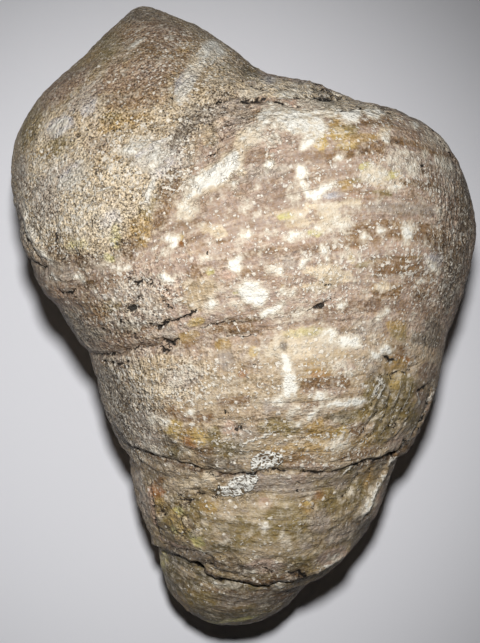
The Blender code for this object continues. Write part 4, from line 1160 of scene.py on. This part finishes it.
def fine_relief():
    """Everything finer than the CAD solid: (height mm, pit field, fold field,
    dirt in folds, ring field, dirt along rings). Folds and rings have their
    furrow where their field passes through 0."""
    h = np.zeros(len(U))
    pit = np.full(len(U), -1.0)

    # Growth wrinkles round the coral: soft rings, with thin furrows.
    rings = growth_noise(1.1, 1.5, 31) * 0.22 + growth_noise(2.0, 3.4, 32) * 0.15
    ring = growth_noise(0.9, 2.7, 33) + 0.15 * growth_noise(6.0, 5.0, 38)
    cut = smooth(growth_noise(1.6, 0.9, 34), -0.1, 0.25) * CORAL
    h += CORAL * SIZE * (rings - 0.13 * cut * np.exp(-((ring / 0.07) ** 2)))
    # Rounded unevenness, then grains.
    h += 0.12 * octaves(SURFACE, 3.2, 41, 2) * (0.5 + 0.5 * ROUGH)
    h += 0.085 * ROUGH * octaves(SURFACE, 1.25, 47, 2, 0.7)
    h += 0.13 * smooth(11.5 - U, 0, 0.4) * octaves(SURFACE, 2.0, 49, 1)

    # Wrinkled and scaly patches.
    total, weight, dirty = np.zeros(len(U)), np.full(len(U), 1e-6), np.zeros(len(U))
    for k, (x, y, rx, ry, turn, fold, gap, long, height, dirt) in enumerate(WRINKLES):
        where, r = oval(x, y, rx, ry, turn)
        c, s = math.cos(math.radians(fold)), math.sin(math.radians(fold))
        dx, dy = PX[where, 0] - x, -(PX[where, 1] - y)
        at = np.stack(
            [(dx * c + dy * s) / long, (-dx * s + dy * c) / gap, 0 * dx + 7.3 * k], -1
        )
        at[:, 1] += 0.5 * WOBBLE[where]
        n = lattice_noise(at, 400 + k) + 0.4 * lattice_noise(at * 2.1, 430 + k)
        share = smooth(1.2 - r + 0.25 * WOBBLE[where], 0, 0.5) * SEEN[where]
        h[where] += height * share * (np.minimum(np.abs(n) * 3.0, 1) - 0.6)
        total[where] += share * dirt * n
        weight[where] += share * dirt
        raise_to(dirty, where, share * dirt)
    # The hidden sides have scaly growth wrinkles of the same kind.
    n = growth_noise(7.0, 1.3, 35) + 0.4 * growth_noise(14.0, 2.6, 36)
    n = CORAL * n + LUMP * octaves(SURFACE, 2.2, 37, 2) * 0.6
    away = 1 - SEEN
    h += 0.16 * away * (np.minimum(np.abs(n) * 3, 1) - 0.6)
    fold = (total + away * 0.4 * n) / (weight + away * 0.4)
    dirty = np.maximum(dirty, away * 0.4)

    # Creases between the growth stages, seen from above and round the back.
    for points, depth, half, lip in (
        (CREASE_B, 0.5, 0.42, 0.22),
        (CREASE_A, 0.6, 0.45, 0.34),
    ):
        side, near, _ = line_field([(points, half, 1.2)], 5.0)
        h -= depth * (0.75 + 0.4 * WOBBLE) * np.exp(-((near / half) ** 2))
        h += lip * np.exp(-(((side - 1.1) / 0.9) ** 2))
        h -= 0.7 * lip * np.exp(-(((side + 1.2) / 1.3) ** 2))
    for at in (6.45, 11.45):
        d = (U - at + 0.1 * WOBBLE) / 0.2
        away = 1 - smooth(UPWARD, 0.0, 0.25)
        strong = (0.6 + 0.4 * WOBBLE) * away
        h -= 0.9 * strong * np.exp(-(d**2))
        h += 0.4 * strong * np.exp(-(((d - 3.6) / 2.4) ** 2))
        split = np.clip(strong + 0.7 * WOBBLE - 0.15, 0, 1)
        pit = np.maximum(pit, (0.6 - np.abs(d)) * split - 0.05 - SEEN * 2)
    for k, (points, half, depth, darkness) in enumerate(CRACKS):
        d, t = line_distance(points, 4, 1.2, 60 + k)
        ends = smooth(t, 0, 0.12) * smooth(1 - t, 0, 0.12) * 0.7 + 0.3
        h -= 0.8 * depth * ends * np.exp(-((d / max(half * 1.5, 0.34)) ** 2))
    for k, points in enumerate(FAN):
        d, t = line_distance(points, 3, 1.6, 160 + k)
        ends = smooth(t, 0, 0.3) * smooth(1 - t, 0, 0.3)
        h -= 0.16 * ends * np.exp(-((d / 0.4) ** 2))
        h += 0.12 * ends * np.exp(-(((d - 0.8) / 0.4) ** 2))
    for k, (points, half, rise) in enumerate(FOLDS):
        d, t = line_distance(points, 5, 1.4, 90 + k)
        ends = smooth(t, 0, 0.15) * smooth(1 - t, 0, 0.15)
        h += rise * ends * np.exp(-((d / max(half, 0.36)) ** 2))
    for x, y, rx, ry, turn in PITS:
        where, r = oval(x, y, rx, ry, turn, 3.0)
        h[where] -= min(0.8, 0.3 * min(rx, ry)) * smooth(1.5 - r, 0, 1)
        raise_to(pit, where, (1.0 - r) * min(rx, ry) / 2.0)
    return h, np.clip(pit, -1, 2), fold, dirty, ring, cut


def cracks():
    """Every dark line, for line_field."""
    lines = [(p, half * darkness * 0.75, 1.4) for p, half, _, darkness in CRACKS]
    lines += [(p, 0.07, 1.4) for p, _, rise in FOLDS if rise < 0]
    return lines


def calcite():
    """Fields above 0 where white calcite lies, in units of 3 pixels."""
    white = np.full(len(U), -1.5)
    for points, half, strength in WHITE_STROKES:
        if half < 2:
            continue
        where, d, t = stroke(points, half + 8)
        taper = 0.6 + 0.4 * smooth(t, -0.05, 0.25) * smooth(1 - t, -0.05, 0.25)
        most = 2.4 * (strength - 0.5)
        raise_to(white, where, np.minimum((half * taper - d) / 3, most))
    for x, y, rx, ry, turn, strength in WHITE_SPOTS:
        where, r = oval(x, y, rx, ry, turn, 2.2)
        most = 2.4 * (strength - 0.5)
        raise_to(white, where, np.minimum((1 - r) * min(rx, ry) / 3, most))
    white = np.where(SEEN > 0.02, white, -1.5)
    # On the hidden sides it comes in scattered patches.
    spread = octaves(SURFACE, 7.0, 501, 3)
    hidden = (spread - 0.85) * 3 - SEEN * 3
    return np.clip(np.maximum(white, hidden), -1, 1.5)


def lace():
    field = np.full(len(U), -1.0)
    for x, y, rx, ry, turn in LACE:
        where, r = oval(x, y, rx, ry, turn, 2.0)
        raise_to(field, where, (1 - r) * min(rx, ry) / 4)
    return np.clip(field, -1, 1.5)


def linear(rgb):
    c = np.asarray(rgb, float) / 255
    return np.where(c <= 0.04045, c / 12.92, ((c + 0.055) / 1.055) ** 2.4)


COLOUR = {name: linear(rgb) for name, rgb in PALETTE.items()}


def tint():
    """The stone's smooth colour at every vertex before its grain, with painted shade on its
    flanks and underside, the colour of the bands and stains on it, painted shade along
    the creases among them, and how much of the ground these cover."""
    paint = np.zeros((len(U), 3))
    over, cover = np.zeros((len(U), 3)), np.zeros(len(U))

    def lay(where, share, colour):
        share = np.clip(share, 0, 1)[:, None]
        paint[where] += share * (COLOUR[colour] - paint[where])

    every = np.arange(len(U))
    stage = WOBBLE * 0.8
    # The coral, from its tip up, and drawn out along its rings.
    paint[:] = COLOUR["mauve"]
    lay(every, smooth(16.2 + stage - U, 0, 1.2) * 0.75, "sand")
    lay(every, smooth(16.2 + stage - U, 0, 3.0) * 0.25, "olive")
    lay(every, smooth(11.6 + 0.1 * stage - U, 0, 0.3) * 0.35, "olive")
    lay(every, smooth(6.6 + 0.1 * stage - U, 0, 0.3) * 0.8, "moss")
    broad = growth_noise(0.7, 0.9, 301) + 0.6 * growth_noise(1.5, 2.4, 302)
    free = 1 - 0.6 * SHOWN
    lay(every, smooth(broad, 0.12, 0.5) * 0.6 * free, "dusk")
    lay(every, smooth(-broad, 0.12, 0.5) * 0.5 * free, "pink")
    narrow = growth_noise(1.2, 4.2, 303)
    lay(every, smooth(narrow, 0.15, 0.45) * 0.4 * free, "umber")
    lay(every, smooth(-narrow, 0.2, 0.5) * 0.35 * free, "cream")
    # Random sand and moss on the lower stages.
    soft = octaves(SURFACE, 1.9, 305, 2)
    low = smooth(11.5 - U, 0, 0.3)
    lay(every, low * smooth(soft, 0.1, 0.6) * 0.4, "sand")
    lay(every, low * smooth(-soft, 0.1, 0.6) * 0.4, "moss")
    # Painted shade: all but the top of each ring, the flanks and underside, is laid over with dusk, more as it
    # turns from up. The left flank is also laid over with slate.
    side = smooth(-CYL[:, 1] + 0.55, 0, 0.55)
    lay(every, side * 0.45, "dusk")
    left = smooth(-CYL[:, 0], 0.35, 0.8) * smooth(U, 10.5, 12) * smooth(23 - U, 0, 3)
    lay(every, left * 0.5, "slate")
    # The sandy matrix.
    bed = octaves(SURFACE, 9.0, 311, 3)
    lay(every, LUMP, "sand")
    lay(every, LUMP * smooth(bed, 0.05, 0.7) * 0.45, "dusk")
    lay(every, LUMP * smooth(-bed, 0.1, 0.7) * 0.35, "cream")
    high = smooth(PX[:, 1], 150, 60) * SEEN
    lay(every, LUMP * high * 0.5, "brown")
    lay(every, LUMP * high * 0.3, "olive")
    # Rusty and yellowish stains that no list below names, on hidden sides.
    rust = octaves(SURFACE, 6.0, 321, 3)
    away = 1 - SEEN
    lay(every, away * smooth(rust, 0.45, 0.9) * 0.45, "ochre")
    lay(every, away * smooth(-rust, 0.5, 1.0) * 0.35, "olive")
    patch = octaves(SURFACE, 11.0, 323, 3)
    lay(every, away * smooth(patch, 0.05, 0.5) * 0.55, "brown")
    lay(every, away * smooth(-patch, 0.1, 0.6) * 0.4, "cream")
    layer = growth_noise(0.9, 3.2, 325)
    lay(every, away * CORAL * smooth(layer, 0.1, 0.4) * 0.5, "umber")
    fleck = octaves(SURFACE, 1.6, 331, 2)
    lay(every, smooth(fleck, 0.35, 0.9) * 0.25, "ochre")
    lay(every, smooth(-fleck, 0.35, 0.9) * 0.25, "ash")

    def stain_and_shade(where, share, colour):
        share = np.clip(1.7 * share, 0, 0.97)
        over[where] += share[:, None] * (COLOUR[colour] - over[where])
        cover[where] += share * (1 - cover[where])

    for points, half, colour, strength in BANDS:
        where, d, t = stroke(points, 3 * half + 3)
        ends = smooth(t, 0, 0.12) * smooth(1 - t, 0, 0.12)
        share = smooth(1.3 - d / half + 0.45 * WOBBLE[where], 0, 0.6)
        stain_and_shade(where, strength * ends * share * SHOWN[where], colour)
    for x, y, rx, ry, turn, colour, strength in STAINS:
        where, r = oval(x, y, rx, ry, turn)
        share = smooth(1.2 - r + 0.5 * WOBBLE[where], 0, 0.75)
        stain_and_shade(where, strength * share * SHOWN[where], colour)
    over = (over + 0.02 * paint) / (cover + 0.02)[:, None]
    return paint, over, cover


FINE, PIT, FOLD, DIRT, RING, RING_DIRT = fine_relief()
CRACK_SIDE, CRACK_NEAR, CRACK_WIDTH = line_field(cracks())
VEIN_SIDE, VEIN_NEAR, VEIN_WIDTH = line_field(
    [(p, half * PIXEL * (0.4 + 0.6 * k), 1.2) for p, half, k in WHITE_STROKES if half < 2]
)
WHITE_FIELD = calcite()
LACE_FIELD = lace()
FINE += 0.1 * smooth(WHITE_FIELD, -0.4, 1.0)
FINE += 0.08 * smooth(LACE_FIELD, -0.2, 0.4) * (1 + octaves(SURFACE, 0.9, 61, 1))
PLACED = SURFACE + OUT * FINE[:, None]
PLACED[:, 2] = np.maximum(PLACED[:, 2], ORIGIN[2] + 0.004)
PLACED -= ORIGIN


def build_mesh():
    mesh = bpy.data.meshes.new("horn_coral_surface")
    mesh.from_pydata((PLACED * MM).tolist(), [], FACES.tolist())
    mesh.update()
    mesh.shade_smooth()
    return mesh


def triangle_volume():
    t = PLACED[FACES]
    return np.einsum("ij,ij->i", t[:, 0], np.cross(t[:, 1], t[:, 2])).sum() / 6


if triangle_volume() < 0:
    FACES = FACES[:, ::-1]
coral = bpy.data.objects.new("horn_coral_surface", build_mesh())
bpy.context.scene.collection.objects.link(coral)
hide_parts("horn_coral")
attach(coral, "root")


def put(name, values, kind="FLOAT"):
    layer = coral.data.attributes.new(name, kind, "POINT")
    key = {"FLOAT": "value", "FLOAT_VECTOR": "vector", "FLOAT_COLOR": "color"}[kind]
    layer.data.foreach_set(key, np.asarray(values, np.float32).ravel())


GROUND, OVER, COVER = tint()
put("tint", np.concatenate([GROUND, np.ones((len(U), 1))], -1), "FLOAT_COLOR")
put("stain_and_shade", np.concatenate([OVER, np.ones((len(U), 1))], -1), "FLOAT_COLOR")
put("cover", COVER)
put("lump", LUMP)
put("speckle", SPECKLE)
put("rough", ROUGH)
put("crowd", CROWD)
put("striae", RIDGED)
put("pit", PIT)
put("fold", FOLD)
put("dirt", DIRT)
put("growth", RING)
put("growth_dirt", RING_DIRT)
put("crack", np.stack([CRACK_SIDE, CRACK_NEAR, CRACK_WIDTH], -1), "FLOAT_VECTOR")
put("vein", np.stack([VEIN_SIDE, VEIN_NEAR, VEIN_WIDTH], -1), "FLOAT_VECTOR")
put("white", WHITE_FIELD)
put("lace", LACE_FIELD)
put("ring", np.stack([CYL[:, 0], CYL[:, 1], U / 10], -1), "FLOAT_VECTOR")


# ---------------------------------------------------------------- material
def srgb(r, g, b):
    def one(c):
        c /= 255
        return c / 12.92 if c <= 0.04045 else ((c + 0.055) / 1.055) ** 2.4

    return (one(r), one(g), one(b), 1.0)


class Nodes:
    """Short names for building a node tree."""

    def __init__(self, material):
        material.use_nodes = True
        self.tree = material.node_tree
        self.tree.nodes.clear()

    def new(self, kind, **settings):
        node = self.tree.nodes.new(kind)
        for key, value in settings.items():
            setattr(node, key, value)
        return node

    def link(self, a, b):
        self.tree.links.new(a, b)

    def give(self, socket, value):
        if isinstance(value, bpy.types.NodeSocket):
            self.link(value, socket)
        elif value is not None:
            socket.default_value = value

    def attribute(self, name, output="Fac"):
        node = self.new("ShaderNodeAttribute", attribute_name=name)
        return node.outputs[output]

    def noise(self, vector, scale, detail=2.0, rough=0.55, warp=0.0, colour=False):
        node = self.new("ShaderNodeTexNoise")
        self.give(node.inputs["Vector"], vector)
        node.inputs["Scale"].default_value = scale
        node.inputs["Detail"].default_value = detail
        node.inputs["Roughness"].default_value = rough
        node.inputs["Distortion"].default_value = warp
        return node.outputs["Color" if colour else "Fac"]

    def cells(self, vector, scale, output="Distance", feature="F1", jitter=1.0):
        node = self.new("ShaderNodeTexVoronoi", feature=feature)
        self.give(node.inputs["Vector"], vector)
        node.inputs["Scale"].default_value = scale
        node.inputs["Randomness"].default_value = jitter
        return node.outputs[output]

    def math(self, operation, a, b=0.0, clamp=False):
        node = self.new("ShaderNodeMath", operation=operation, use_clamp=clamp)
        self.give(node.inputs[0], a)
        self.give(node.inputs[1], b)
        return node.outputs[0]

    def span(self, value, low, high, to_low=0.0, to_high=1.0, soft=True):
        """The value carried from one span to another, and kept inside it."""
        node = self.new("ShaderNodeMapRange")
        node.interpolation_type = "SMOOTHSTEP" if soft else "LINEAR"
        node.clamp = True
        self.give(node.inputs["Value"], value)
        for key, v in zip(
            ("From Min", "From Max", "To Min", "To Max"), (low, high, to_low, to_high)
        ):
            self.give(node.inputs[key], v)
        return node.outputs["Result"]

    def mix(self, share, a, b, how="MIX"):
        node = self.new("ShaderNodeMix", data_type="RGBA", blend_type=how)
        node.clamp_factor = True
        self.give(node.inputs[0], share)
        self.give(node.inputs[6], a)
        self.give(node.inputs[7], b)
        return node.outputs[2]

    def ramp(self, value, stops):
        node = self.new("ShaderNodeValToRGB")
        self.give(node.inputs["Fac"], value)
        points = node.color_ramp.elements
        while len(points) < len(stops):
            points.new(0.5)
        for point, (at, colour) in zip(points, stops):
            point.position = at
            point.color = colour
        return node.outputs["Color"]

    def scaled(self, vector, scale):
        node = self.new("ShaderNodeVectorMath", operation="MULTIPLY")
        self.give(node.inputs[0], vector)
        node.inputs[1].default_value = scale
        return node.outputs[0]


def fossil_stone():
    mat = bpy.data.materials.new("fossil_stone")
    n = Nodes(mat)
    place = n.new("ShaderNodeTexCoord").outputs["Object"]
    ring = n.attribute("ring", "Vector")
    lump = n.attribute("lump")
    coral = n.math("SUBTRACT", 1.0, lump)
    speckle = n.attribute("speckle")
    striae = n.attribute("striae")

    def about(value, gain):
        """Noise carried to spread about 0."""
        return n.math("MULTIPLY", n.math("SUBTRACT", value, 0.5), gain)

    def add(*values):
        total = values[0]
        for value in values[1:]:
            total = n.math("ADD", total, value)
        return total

    def times(*values):
        total = values[0]
        for value in values[1:]:
            total = n.math("MULTIPLY", total, value)
        return total

    # Grain at four sizes, from 1.6 mm down to 0.25 mm.
    coarse = n.noise(place, 620, 2.0, 0.6)
    medium = n.noise(place, 1400, 2.0, 0.6)
    fine = n.noise(place, 3600, 1.0, 0.6)
    # The matrix is drawn out in one direction.
    drawn = n.new("ShaderNodeMapping", vector_type="TEXTURE")
    n.link(place, drawn.inputs["Vector"])
    drawn.inputs["Rotation"].default_value = (0, 0, math.radians(48))
    drawn.inputs["Scale"].default_value = (1.8, 0.75, 1.0)
    sandy = n.noise(drawn.outputs[0], 3100, 2.0, 0.7)
    beds = n.noise(drawn.outputs[0], 700, 3.0, 0.65)
    grains = n.cells(drawn.outputs[0], 2500)
    # Fine growth lines, short streaks and blotches round the coral, and fine
    # ridges running up it.
    lines = n.noise(n.scaled(ring, (2.0, 2.0, 62.0)), 1.0, 2.0, 0.6)
    streaks = n.noise(n.scaled(ring, (16.0, 16.0, 90.0)), 1.0, 2.0, 0.65)
    blots = n.noise(n.scaled(ring, (7.0, 7.0, 34.0)), 1.0, 4.0, 0.68)
    threads = n.noise(n.scaled(ring, (62.0, 62.0, 16.0)), 1.0, 1.0, 0.5)

    def lean_light(value, dark, bright):
        """Steeper above 0 than below, so that light grains stand out."""
        return add(
            times(value, (bright + dark) / 2),
            times(n.math("ABSOLUTE", value), (bright - dark) / 2),
        )

    # On the coral some places are busy and others plain.
    busy = n.span(n.noise(place, 360, 1.0, 0.5), 0.42, 0.62, 0.45, 1.5)
    ground = add(
        times(lump, about(beds, 1.3)),
        times(lump, about(sandy, 3.2)),
        times(lump, about(medium, 0.7)),
        times(lump, about(fine, 5.0)),
    )
    plain = n.math("SUBTRACT", 1.0, times(striae, 0.8))
    gritty = n.span(speckle, 0.3, 1.1, 0.3, 1.1, False)
    growth = add(
        about(coarse, 0.8),
        times(busy, about(medium, 1.3)),
        times(busy, gritty, about(fine, 3.4)),
        times(busy, plain, about(streaks, 1.9)),
    )
    shade = times(
        speckle,
        add(lean_light(ground, 0.85, 1.2), times(coral, lean_light(growth, 0.65, 1.3))),
    )
    # Fine ridges up the coral show as broken rows of light grains.
    strokes = times(
        n.span(threads, 0.5, 0.62), n.span(medium, 0.4, 0.55), n.span(fine, 0.35, 0.55)
    )
    shade = add(
        shade,
        times(coral, plain, about(lines, 1.1)),
        times(striae, about(threads, 1.3)),
        times(striae, strokes, 0.55),
    )
    # Light grains turn paler and whiter, partly their own pale stone and partly painted glints; dark ones keep
    # the hue of the stone.
    dim = n.math("MAXIMUM", n.math("MINIMUM", n.math("ADD", shade, 1.0), 1.0), 0.14)
    pale_grain_and_glint = n.math("MINIMUM", n.math("MAXIMUM", shade, 0.0), 1.3)

    # Bands and stains are made of blotches with ragged edges.
    colour = n.attribute("tint", "Color")
    cover = n.attribute("cover")
    broken = add(
        about(medium, 1.0),
        times(coral, about(blots, 0.9)),
        times(lump, about(beds, 1.1)),
    )
    ragged = n.span(n.math("ADD", cover, broken), 0.32, 0.58)
    share = add(times(ragged, 0.55), times(cover, 0.45))
    # Cream and brown blotches.
    mottled = n.math("MINIMUM", times(coral, add(times(speckle, 1.1), -0.1)), 1.0)
    blotch = n.math("ADD", blots, about(medium, 0.35))
    brown = times(mottled, n.span(blotch, 0.46, 0.38, 0.0, 0.5))
    pale = times(mottled, n.span(blotch, 0.55, 0.62, 0.0, 0.5))
    colour = n.mix(brown, colour, srgb(132, 103, 74))
    colour = n.mix(pale, colour, srgb(226, 210, 182))
    colour = n.mix(share, colour, n.attribute("stain_and_shade", "Color"))
    # The grains differ in hue too, in patches and one by one.
    hue = n.noise(place, 330, 2.0, 0.5)
    colour = n.mix(n.span(hue, 0.52, 0.7, 0.0, 0.25), colour, srgb(158, 130, 90))
    colour = n.mix(n.span(hue, 0.48, 0.3, 0.0, 0.2), colour, srgb(184, 170, 160))
    tones = n.noise(n.scaled(place, (-1.0, 1.0, -1.0)), 2100, 2.0, 0.7)
    colour = n.mix(n.span(tones, 0.52, 0.7, 0.0, 0.4), colour, srgb(160, 126, 84))
    colour = n.mix(n.span(tones, 0.48, 0.32, 0.0, 0.4), colour, srgb(182, 172, 168))
    vivid = n.new("ShaderNodeHueSaturation")
    vivid.inputs["Saturation"].default_value = 1.08
    n.link(colour, vivid.inputs["Color"])
    colour = vivid.outputs[0]
    colour = n.mix(1.0, colour, dim, "MULTIPLY")
    # Painted glints, with pale grains: light grains brightened and mixed towards warm white.
    colour = n.mix(1.0, colour, n.math("ADD", times(pale_grain_and_glint, 0.5), 1.0), "MULTIPLY")
    colour = n.mix(times(pale_grain_and_glint, 0.3), colour, srgb(251, 239, 214))

    # White specks: whole cells that chance picks, more of them where they
    # crowd, and ragged flakes.
    crowd = n.attribute("crowd")
    jumbled = n.new("ShaderNodeVectorMath", operation="ADD")
    n.link(place, jumbled.inputs[0])
    n.link(
        n.scaled(n.noise(place, 2400, 1.0, 0.5, colour=True), (0.0006,) * 3),
        jumbled.inputs[1],
    )

    def specks(scale, least, most, share):
        cell = n.new("ShaderNodeTexVoronoi", feature="F1")
        n.link(jumbled.outputs[0], cell.inputs["Vector"])
        cell.inputs["Scale"].default_value = scale
        chance = n.new("ShaderNodeSeparateColor")
        n.link(cell.outputs["Color"], chance.inputs[0])
        size = n.span(chance.outputs[1], 0.0, 1.0, least, most, False)
        picked = n.math("LESS_THAN", chance.outputs[0], times(crowd, share))
        inside = n.span(n.math("DIVIDE", cell.outputs["Distance"], size), 1.0, 0.5)
        return times(inside, picked)

    flakes = n.noise(jumbled.outputs[0], 1250, 2.0, 0.62)
    level = n.math("SUBTRACT", flakes, n.span(crowd, 0.0, 1.0, 0.69, 0.55, False))
    bright = n.math("MAXIMUM", specks(2100, 0.3, 0.6, 0.7), specks(1150, 0.25, 0.5, 0.55))
    bright = n.math("MAXIMUM", bright, specks(560, 0.12, 0.34, 0.4))
    bright = n.math("MAXIMUM", bright, n.span(level, 0.0, 0.03))
    colour = n.mix(times(bright, 0.85), colour, srgb(245, 237, 222))

    # White calcite, ragged at its edges and a little grainy, in a pale halo.
    edge = add(
        n.attribute("white"),
        about(n.noise(place, 600, 2.0, 0.6), 3.4),
        about(medium, 2.6),
        about(fine, 0.8),
    )
    colour = n.mix(n.span(edge, -1.2, 0.2, 0.0, 0.6), colour, srgb(228, 215, 194))
    white = n.span(edge, -0.35, 0.65)
    chalk = n.mix(n.span(edge, 0.0, 1.1), srgb(232, 219, 195), srgb(254, 250, 238))
    colour = n.mix(times(white, 0.94), colour, chalk)
    # Thin white veins and worn edges.
    vein = n.new("ShaderNodeSeparateXYZ")
    n.link(n.attribute("vein", "Vector"), vein.inputs[0])
    far = n.math("ABSOLUTE", add(vein.outputs[0], about(medium, 0.5)))
    wide = n.math("MAXIMUM", times(vein.outputs[2], n.span(coarse, 0.35, 0.6, 0.2, 1.5)), 0.001)
    thin = times(
        n.span(n.math("DIVIDE", far, wide), 1.3, 0.5),
        n.span(vein.outputs[1], 0.6, 0.45),
    )
    colour = n.mix(times(thin, 0.85), colour, srgb(246, 240, 226))
    # Lacy crusts: the same white, pierced by dark holes.
    crust = n.math("ADD", n.attribute("lace"), about(coarse, 1.5))
    holes = n.math("ABSOLUTE", about(n.noise(place, 1350, 1.0, 0.5, 0.6), 1.0))
    laced = times(n.span(crust, -0.1, 0.1), n.span(holes, 0.115, 0.07))
    gaps = times(n.span(crust, 0.0, 0.25), n.span(holes, 0.11, 0.16))
    colour = n.mix(times(gaps, 0.7), colour, srgb(88, 76, 56))
    colour = n.mix(laced, colour, srgb(254, 251, 240))

    # Dirt in furrows and along growth lines, and dark in cracks and pits; along the creases this dark is painted
    # shade.
    def furrow(field, strength, width):
        inside = n.span(n.math("ABSOLUTE", field), width, width * 0.25)
        return times(inside, strength)

    lean = n.span(coarse, 0.36, 0.62, 0.1, 1.3)
    soft = n.math(
        "MAXIMUM",
        times(furrow(n.attribute("fold"), n.attribute("dirt"), 0.08), lean, 1.2),
        times(furrow(n.attribute("growth"), n.attribute("growth_dirt"), 0.04), lean, 0.4),
    )
    net = n.math("ABSOLUTE", about(n.noise(jumbled.outputs[0], 900, 2.0, 0.6), 1.0))
    soft = n.math(
        "MAXIMUM", soft, times(n.span(net, 0.03, 0.008), n.attribute("dirt"), lean, 1.8)
    )
    colour = n.mix(soft, colour, srgb(86, 68, 48))
    crack = n.new("ShaderNodeSeparateXYZ")
    n.link(n.attribute("crack", "Vector"), crack.inputs[0])
    far = n.math("ABSOLUTE", add(crack.outputs[0], about(medium, 1.1)))
    wide = n.math("MAXIMUM", times(crack.outputs[2], n.span(coarse, 0.38, 0.6, 0.1, 1.7)), 0.001)
    reach = n.math("DIVIDE", far, wide)
    near = n.span(crack.outputs[1], 0.7, 0.5)
    split = times(n.span(reach, 1.4, 0.6), near)
    around = times(n.span(reach, 3.6, 1.0), near, 0.55)
    hole = n.span(
        add(n.attribute("pit"), about(medium, 3.0), about(fine, 1.0)), 0.0, 0.25
    )
    dark = n.math("MAXIMUM", split, hole)
    # Brown round each crack and near black in it; along the creases both are painted shade.
    colour = n.mix(around, colour, srgb(78, 60, 42))
    colour = n.mix(times(dark, 0.95), colour, srgb(26, 20, 15))

    shader = n.new("ShaderNodeBsdfPrincipled")
    n.link(colour, shader.inputs["Base Color"])
    shader.inputs["Roughness"].default_value = 0.66
    shader.inputs["Specular IOR Level"].default_value = 0.4
    bump = n.new("ShaderNodeBump")
    bump.inputs["Strength"].default_value = 1.0
    bump.inputs["Distance"].default_value = 0.0002
    smoothed = n.math("SUBTRACT", 1.0, times(white, 0.85))
    height = times(
        n.attribute("rough"),
        add(
            times(coarse, 2.2),
            times(medium, 1.8),
            times(fine, 0.8),
            times(lump, grains, -0.8),
        ),
    )
    height = add(
        height,
        times(striae, threads, 1.2),
        times(coral, plain, smoothed, lines, 0.8),
        times(coral, speckle, smoothed, streaks, 0.9),
        times(white, 0.6),
        times(bright, 0.35),
        times(laced, 1.2),
        times(thin, 0.5),
        times(soft, -0.7),
        times(dark, -1.6),
    )
    n.link(height, bump.inputs["Height"])
    n.link(bump.outputs["Normal"], shader.inputs["Normal"])
    n.link(shader.outputs[0], n.new("ShaderNodeOutputMaterial").inputs["Surface"])
    return mat


coral.data.materials.append(fossil_stone())


# ---------------------------------------------------------------- the scene
def pale_floor():
    size = 0.9
    mesh = bpy.data.meshes.new("floor")
    mesh.from_pydata(
        [(-size, -size, 0), (size, -size, 0), (size, size, 0), (-size, size, 0)],
        [],
        [(0, 1, 2, 3)],
    )
    floor = bpy.data.objects.new("floor", mesh)
    bpy.context.scene.collection.objects.link(floor)
    mat = bpy.data.materials.new("pale_floor")
    n = Nodes(mat)
    shader = n.new("ShaderNodeBsdfPrincipled")
    shader.inputs["Base Color"].default_value = srgb(220, 220, 224)
    shader.inputs["Roughness"].default_value = 0.9
    n.link(shader.outputs[0], n.new("ShaderNodeOutputMaterial").inputs["Surface"])
    mesh.materials.append(mat)


pale_floor()


def lamp(name, place, aim, size, power, cone=None, edge=1.0, colour=(1, 1, 1)):
    """A soft round lamp, with a soft-edged cone in degrees if one is given."""
    data = bpy.data.lights.new(name, "SPOT" if cone else "AREA")
    if cone:
        data.spot_size = math.radians(cone)
        data.spot_blend = edge
        data.shadow_soft_size = size / 2
    else:
        data.shape = "DISK"
        data.size = size
    data.energy = power
    data.color = colour
    obj = bpy.data.objects.new(name, data)
    obj.location = place
    obj.rotation_mode = "QUATERNION"
    obj.rotation_quaternion = (Vector(aim) - Vector(place)).to_track_quat("-Z", "Y")
    bpy.context.scene.collection.objects.link(obj)


KEY_AT, KEY_AIM = (-0.001, 0.061, 0.36), (-0.015, -0.009, 0.0)
lamp("key", KEY_AT, KEY_AIM, 0.028, 4.0, 29)
lamp("key_spill", KEY_AT, KEY_AIM, 0.028, 1.1, 80)

world = bpy.data.worlds.new("studio")
bpy.context.scene.world = world
world.use_nodes = True
world.node_tree.nodes["Background"].inputs["Color"].default_value = (0.9, 0.95, 1, 1)
world.node_tree.nodes["Background"].inputs["Strength"].default_value = 0.008
bpy.context.scene.view_settings.view_transform = "Standard"

camera = bpy.data.objects.new("camera", bpy.data.cameras.new("camera"))
bpy.context.scene.collection.objects.link(camera)
camera.location = (
    -ORIGIN[0] * MM,
    -ORIGIN[1] * MM,
    (CAMERA_HEIGHT - ORIGIN[2]) * MM,
)
camera.data.sensor_width = 36.0
camera.data.lens = 18.0 / (TALL / 2 * PIXEL / (CAMERA_HEIGHT - SHARP_AT))
camera.data.clip_start = 0.01
bpy.context.scene.camera = camera
